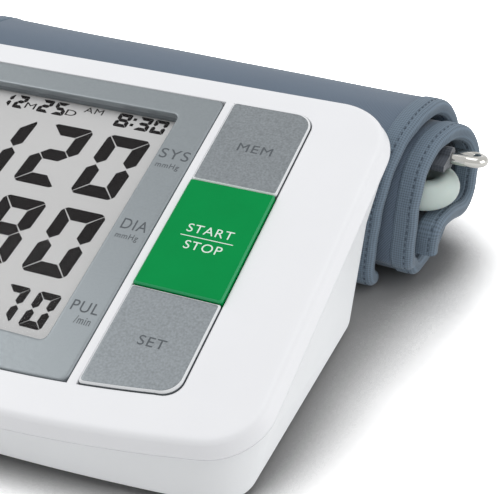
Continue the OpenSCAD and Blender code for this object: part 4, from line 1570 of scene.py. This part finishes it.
@dataclass
class RingHem:
    """Hem that wraps the ring's near bar, with its strap to the lining."""

    roll: Roll
    at: tuple[float, float] = (1.4, 10.3)
    span: tuple[float, float] = (-50.0, 85.0)
    outer: float = 2.9
    bore: float = 1.56
    strap: float = 7.0
    strap_t: float = 1.8
    strap_root: float = 1.6
    strap_end: float = 0.25
    swell: tuple[float, float] = (0.02, 21.0)
    cuts: int = 70
    sides: int = 72

    def make(self) -> Piece:
        """Tube with a strap: the outer line swells from the strap's half height to the round.

        Returns:
            The new piece.
        """
        a, half = circle(self.sides), self.strap_t / 2
        disc = np.stack([np.cos(a), np.sin(a)], axis=-1)
        from_strap = np.abs(np.angle(np.exp(1j * (a - np.pi))))
        near = from_strap < math.asin(half / self.outer) * self.strap_root
        flank = np.sign(disc[:, 1]) * half * np.minimum(1, from_strap / self.strap_end)
        strap = np.stack([np.full_like(flank, -self.strap), flank], axis=-1)
        ring = np.where(near[:, None], strap, self.outer * disc)
        soft = (np.roll(ring, 1, axis=0) + 2 * ring + np.roll(ring, -1, axis=0)) / 4
        x = np.linspace(*self.span, self.cuts)[:, None]
        swell = 1 + self.swell[0] * wave(x, self.swell[1])[..., None]
        sections = swell * soft, np.repeat(self.bore * disc[None], self.cuts, axis=0)[::-1]
        yz = np.concatenate(sections) + self.at
        along = np.concatenate([x, x[::-1]])
        rings = np.concatenate([np.broadcast_to(along, yz.shape[:2])[..., None], yz], axis=-1)
        uv = surface_map(along, a[None] * self.outer)
        return loft("hem_sleeve", self.roll.world(rings), closed=True, uv=uv, crease=50.0)


@dataclass
class Hose:
    """Air hose from its port in the roll, round the right end, and out along the back."""

    roll: Roll
    radius: float = 4.0
    plug_r: float = 5.0
    near: float = -7.4
    far: float = 4.6
    level: float = 2.2
    right: float = 84.4
    bend_cuts: int = 6
    cuts: int = 10
    sides: int = 28

    def line(self) -> Array:
        """Middle line: a smooth curve through the route's points, each stretch a cubic.

        Returns:
            Its points in the part's frame.
        """
        low = self.radius - self.roll.lift
        n, f, z = self.near, self.far, self.level
        r = (f - n) / 2
        x, k = self.right - r, np.radians(np.linspace(-90, 90, self.bend_cuts))
        bend = np.stack([x + r * np.cos(k), (n + f) / 2 + r * np.sin(k), 0 * k + z], axis=-1)
        lead = x - np.linalg.norm(bend[1] - bend[0])
        route = np.vstack([
            [[-30, n, z], [0, n, z], [30, n, z], [60, n, z], [lead, n, z]], bend,
            [[lead, f, z], [60, f, z], [30, f, z], [0, f, z], [-30, f, z], [-60, f, z],
             [-74, 5.5, z - 1.4], [-88, 11, -7], [-95, 22, low + 4], [-93, 34, low + 0.5],
             [-82, 41, low], [-66, 42, low], [-44, 41, low], [-22, 40, low], [2, 39, low + 0.3],
             [20, 38, low + self.plug_r - self.radius]],
        ])
        p = np.vstack([route[:1], route, route[-1:]])
        t = (np.arange(self.cuts) / self.cuts)[None, :, None]
        a, b, c, d = (p[i : len(p) - 3 + i, None] for i in range(4))
        square, cube = 2 * a - 5 * b + 4 * c - d, 3 * b - a - 3 * c + d
        run = 0.5 * (2 * b + (c - a) * t + square * t**2 + cube * t**3)
        return self.roll.world(np.vstack([run.reshape(-1, 3), route[-1:]]))

    def make(self) -> Piece:
        """Round tube carried along the middle line, its section square to the line.

        Returns:
            The new piece.
        """
        line = self.line()
        way = unit(np.gradient(line, axis=0))
        side = unit(np.cross(way, [0.0, 0.0, 1.0]))
        up = np.cross(side, way)
        a = circle(self.sides)[None, :, None]
        rings = line[:, None] + self.radius * (np.cos(a) * side[:, None] + np.sin(a) * up[:, None])
        return loft("hose_tube", rings)


# The stage


def aim(piece: Piece, back: Array, side: Array, at: Sequence[float]) -> None:
    """Sets down a camera or a lamp.

    Args:
        piece: the camera or lamp.
        back: direction that it looks away from.
        side: direction to its right.
        at: its place in metres.
    """
    axes = np.column_stack([side, np.cross(back, side), back, at])
    piece.matrix_world = Matrix([*axes.tolist(), [0.0, 0.0, 0.0, 1.0]])


@dataclass(frozen=True)
class Lamp:
    """Square soft lamp that faces the object: place and side in metres, power in watts."""

    name: str
    at: Spot
    size: float
    power: float

    def make(self) -> None:
        """Hangs the lamp, one of its sides level."""
        data = bpy.data.lights.new(self.name, "AREA")
        data.size, data.energy = self.size, self.power
        away = unit(np.array(self.at))
        aim(link(self.name, data), away, unit(np.cross([0.0, 0.0, 1.0], away)), self.at)


@dataclass
class Studio:
    """Floor, soft light and the camera at the photograph's viewing angle."""

    eye: Spot = (134.9, -234.5, 181.3)
    azimuth: float = 22.57
    elevation: float = 32.04
    lens: float = 86.45
    sensor: float = 36.0
    near_clip: float = 0.01
    floor_half: float = 4000.0
    floor_bounce: float = 0.85
    floor_white: float = 1.1
    floor_gain: float = 3.0
    shade_reach: float = 46.0
    shade_power: float = 3.4
    shade_least: float = 0.48
    shade_samples: int = 16
    ambient: float = 0.69
    lamps: tuple[Lamp, ...] = (
        Lamp("overhead", (0.3, 0.1, 1.0), 0.8, 2.8),
        Lamp("left", (-0.62, 0.0, 0.8), 0.5, 2.4),
        Lamp("right", (1.1, 0.3, 0.16), 0.7, 3.6),
    )

    def camera(self) -> None:
        """Camera whose axes come from its azimuth and elevation."""
        (c, s), (level, rise) = cos_sin(self.azimuth), cos_sin(self.elevation)
        data = bpy.data.cameras.new("camera")
        data.sensor_fit, data.sensor_width, data.lens = "HORIZONTAL", self.sensor, self.lens
        data.clip_start = self.near_clip
        camera = link("camera", data)
        back, side = np.array([s * level, -c * level, rise]), np.array([c, s, 0.0])
        aim(camera, back, side, np.array(self.eye) * MM)
        bpy.context.scene.camera = camera

    def light(self) -> None:
        """Even pale surroundings, a large lamp overhead and one at each side."""
        world = bpy.data.worlds.new("studio")
        bpy.context.scene.world = world
        tree = Tree(world)
        back = tree.add("Background")
        level = tree.spread(tree.seen(), 0, self.ambient, 1.0)
        tree.join(level, "Result", back, "Strength")
        tree.join(back, 0, tree.add("OutputWorld"), "Surface")
        for lamp in self.lamps:
            lamp.make()
        bpy.context.scene.view_settings.view_transform = "Standard"

    def paper(self) -> bpy.types.Material:
        """White paper: the camera sees it lifted to white, with painted shadow where it is closed
        in.

        Returns:
            The new material.
        """
        paper = bpy.data.materials.new("floor_paper")
        tree = Tree(paper)
        matt, gain = tree.add("BsdfDiffuse"), tree.add("MapRange")
        mirrored = tree.spread(tree.seen(), 0, self.floor_bounce, self.floor_white)
        reach = {"Distance": self.shade_reach * MM}
        # Occlusion darkens the colour that the camera sees: painted shadow round the object
        near = tree.add("AmbientOcclusion", reach, samples=self.shade_samples)
        least = tree.sum("MAXIMUM", near, "AO", self.shade_least)
        depth = tree.sum("POWER", least, 0, self.shade_power)
        tree.join(tree.add("LightPath"), "Is Camera Ray", gain, "Value")
        tree.join(mirrored, "Result", gain, "To Min")
        tree.join(tree.sum("MULTIPLY", depth, 0, self.floor_gain), 0, gain, "To Max")
        tree.join(gain, "Result", matt, "Color")
        tree.join(matt, 0, tree.add("OutputMaterial"), "Surface")
        return paper

    def floor(self) -> None:
        """Wide floor: the lamps' cast shadow, deepened by painted shadow under the object's edges.
        """
        corners = np.array([[-1, -1, 0], [1, -1, 0], [1, 1, 0], [-1, 1, 0]]) * self.floor_half
        piece = make_piece("floor", corners, np.array([[0, 1, 2, 3]]))
        piece.data.materials.append(self.paper())
        piece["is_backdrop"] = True

    def make(self) -> None:
        """Builds the whole stage."""
        self.camera()
        self.light()
        self.floor()


# The object


FINISHES = (
    Moulded("case_white", "F1F2F5", rough=0.4, mottle=0.008, grain_depth=0.006),
    Moulded("case_grey", "F0F2F4", rough=0.45, mottle=0.01, grain_depth=0.008),
    Moulded("foot_rubber", "2A2A2C", rough=0.75, mottle=0.08, grain_depth=0.04, specular=0.25),
    Moulded("dark_rubber", "3A3C3F", rough=0.7, mottle=0.08, grain_depth=0.03, specular=0.25),
    Moulded("display_grey", "CFCFCF", rough=0.5, mottle=0.03, mottle_size=60.0, grain_depth=0.002),
    Moulded("figure_black", "171415", rough=0.6, mottle=0.05, grain_depth=0.002, specular=0.05),
    # Dark grey for the ledge under the panel: painted shade of the recess wall
    Moulded("recess_painted_shade", "767C80", rough=0.6, specular=0.1),
    Moulded("label_grey", "50565B", rough=0.6, mottle=0.05, grain_depth=0.003),
    Moulded("label_pale", "E6F2EA", rough=0.6, mottle=0.03, grain_depth=0.003),
    Moulded(
        "key_green", "009048", rough=0.5, mottle=0.03,
        mottle_size=8.0, grain_depth=0.006, specular=0.06,
    ),
    # Paler, glossier rings over the keys' bevels: painted highlight
    Moulded("key_green_edge", "149A5C", rough=0.3, mottle=0.01, grain_depth=0.002),
    Moulded("key_grey_edge", "E9EBED", rough=0.3, mottle=0.01, grain_depth=0.002),
    Moulded("frame_white", "E4E3DE", rough=0.5),
    Moulded("board_green", "17452A", rough=0.35, mottle=0.1, mottle_size=4.0, grain_depth=0.03),
    Moulded("part_black", "18181A", rough=0.45, mottle=0.08),
    Moulded("pump_ivory", "DEDACB", rough=0.5),
    Moulded("tube_clear", "DCE4DF", rough=0.4, soft_glow=0.1),
    Moulded("socket_grey", "B9BCBF"),
    Moulded("cell_skin", "3B3C40", rough=0.3, mottle=0.05),
    Moulded(
        "hose_rubber", "C3D0CB", rough=0.46, mottle=0.03,
        mottle_size=20.0, grain_depth=0.01, soft_glow=0.08,
    ),
    Flaked("panel_grey", "8A9195", fleck=0.04, metal=0.35),
    Flaked("key_grey", "858B8F", fleck=0.2, metal=0.35),
    Metal("plated_steel", "B9B9B8", 0.3),
    Metal("ring_chrome", "C9C8C3", 0.12),
    Metal("contact_metal", "C9B070", 0.3),
    ClearSheet("clear_window"),
    Cloth("cuff_cloth", "616F7F", Weave.TWILL, pitch=0.5, depth=0.1, contrast=0.2),
    Cloth("cuff_lining", "434A53", Weave.PLAIN, pitch=0.7, depth=0.12, contrast=0.16),
    Cloth("cuff_tape", "687785", Weave.PLAIN, pitch=0.6, depth=0.16, contrast=0.24, sheen=0.12),
    Cloth("hem_cloth", "474C54", Weave.PLAIN, pitch=0.8, depth=0.2, contrast=0.2, sheen=0.4),
    Moulded("thread", "465361", rough=0.6, mottle=0.1, mottle_size=1.0),
)

# Nodes that stay, by finish
NODE_FINISH: dict[str, str] = {
    "case_white": "battery_bay",
    "case_grey": "lower_case battery_cover",
    "foot_rubber": "rubber_feet",
    "dark_rubber": "contact_strips pump_cradle bladder_port",
    "plated_steel": "case_screws board_screws pump_motor pump_crank valve_plunger battery_springs",
    "clear_window": "display_lens",
    "display_grey": "display_cell",
    "frame_white": "cell_frame_ring",
    "part_black": "key_switches buzzer pressure_sensor valve_body",
    "board_green": "main_board",
    "pump_ivory": "pump_head air_manifold",
    "tube_clear": "inner_tubes",
    "socket_grey": "air_socket air_plug",
    "cell_skin": "battery_cells",
    "contact_metal": "battery_contacts",
    "ring_chrome": "cuff_ring",
}


class Monitor:
    """The whole object: frame, finishes and the pieces laid over the frame."""

    def __init__(self) -> None:
        """Loads the frame, keeps the size of its box and makes each finish once."""
        self.nodes: dict[str, Piece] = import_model()["nodes"]
        self.cad_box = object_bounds()
        self.finishes = {finish.name: finish.make() for finish in FINISHES}
        self.face = FaceFrame()
        self.roll = Roll()

    def coat(self, piece: Piece, finish: str) -> None:
        """Puts a finish on every slot of a piece.

        Args:
            piece: the piece or node.
            finish: name of the finish.
        """
        if not piece.data.materials:
            piece.data.materials.append(self.finishes[finish])
        for slot in piece.material_slots:
            slot.material = self.finishes[finish]

    def put(
        self,
        piece: Piece,
        body: str,
        finish: str,
        instead_of: str | None = None,
    ) -> Piece:
        """Dresses a piece, sets it on its body and hides the node that it replaces.

        Args:
            piece: the new piece.
            body: body that it rides on.
            finish: its finish.
            instead_of: node that it replaces, if any.

        Returns:
            The same piece.
        """
        self.coat(piece, finish)
        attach(piece, body)
        if instead_of:
            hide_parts(instead_of)
        LOG.info("%s rides on %s in %s", piece.name, body, finish)
        return piece

    def dress_nodes(self) -> None:
        """Gives each node that stays its finish."""
        for finish, names in NODE_FINISH.items():
            for name in names.split():
                self.coat(self.nodes[name], finish)

    def build_case(self) -> None:
        """Case shell, panel, keys, figures and labels."""
        top = CaseTop(self.face)
        self.put(top.shell(), "monitor", "case_white", instead_of="upper_case")
        # The ledge's dark grey finish is painted shade of the recess wall
        self.put(top.seat(), "monitor", "recess_painted_shade")
        self.put(top.bar(), "monitor", "case_white")
        self.put(WallSkin(top).make(), "monitor", "case_grey")
        self.put(top.panel(), "monitor", "panel_grey", instead_of="display_panel")
        strip = KeyStrip(top)
        for key in strip.keys():
            finish = "key_green" if key.at == "middle" else "key_grey"
            self.put(strip.cap(key), key.node, finish, instead_of=key.node)
            # The ring over each cap's bevel is lighter than the cap: painted highlight
            self.put(strip.edge(key), key.node, finish + "_edge")
        self.put(Figures(self.face).make(), "monitor", "figure_black")
        for label in LABELS:
            self.put(label.make(self.face), label.body, label.finish)

    def build_cuff(self) -> None:
        """Cloths, bladder, tapes, stitches and hems of the cuff."""
        r, cuff, t = self.roll, Cuff(self.roll), self.roll.half_t
        outer = cuff.cloth("outer_cloth", t - r.ply, t)
        self.put(outer, "cuff", "cuff_cloth", instead_of="cuff_outer_cloth")
        inner = cuff.cloth("inner_cloth", -t, r.ply - t)
        self.put(inner, "cuff", "cuff_lining", "cuff_lining")
        self.put(cuff.bladder(), "cuff", "dark_rubber", "air_bladder")
        for side in ("right", "left"):
            tape = cuff.tape(f"{side}_tape", side == "right")
            self.put(tape, "cuff", "cuff_tape", instead_of=f"{side}_binding")
            row = cuff.stitches(f"{side}_stitches", side == "right")
            self.put(row, "cuff", "thread")
        for end in ("outer", "inner"):
            hem = cuff.end_hem(f"{end}_end_hem", end == "outer")
            self.put(hem, "cuff", "cuff_tape")
        self.put(RingHem(r).make(), "cuff", "hem_cloth", "ring_hem")

    def build_hose(self) -> None:
        """The hose tube, in place of the frame's own hose."""
        hose = Hose(self.roll)
        line = hose.line()
        piece = self.put(hose.make(), "cuff", "hose_rubber", instead_of="air_hose")


def main() -> None:
    """Builds the object and its stage in order."""
    logging.basicConfig(level=logging.INFO, format="%(name)s: %(message)s")
    monitor = Monitor()
    Studio().make()
    monitor.build_hose()
    monitor.dress_nodes()
    monitor.build_case()
    monitor.build_cuff()


if __name__ == "__main__":
    main()
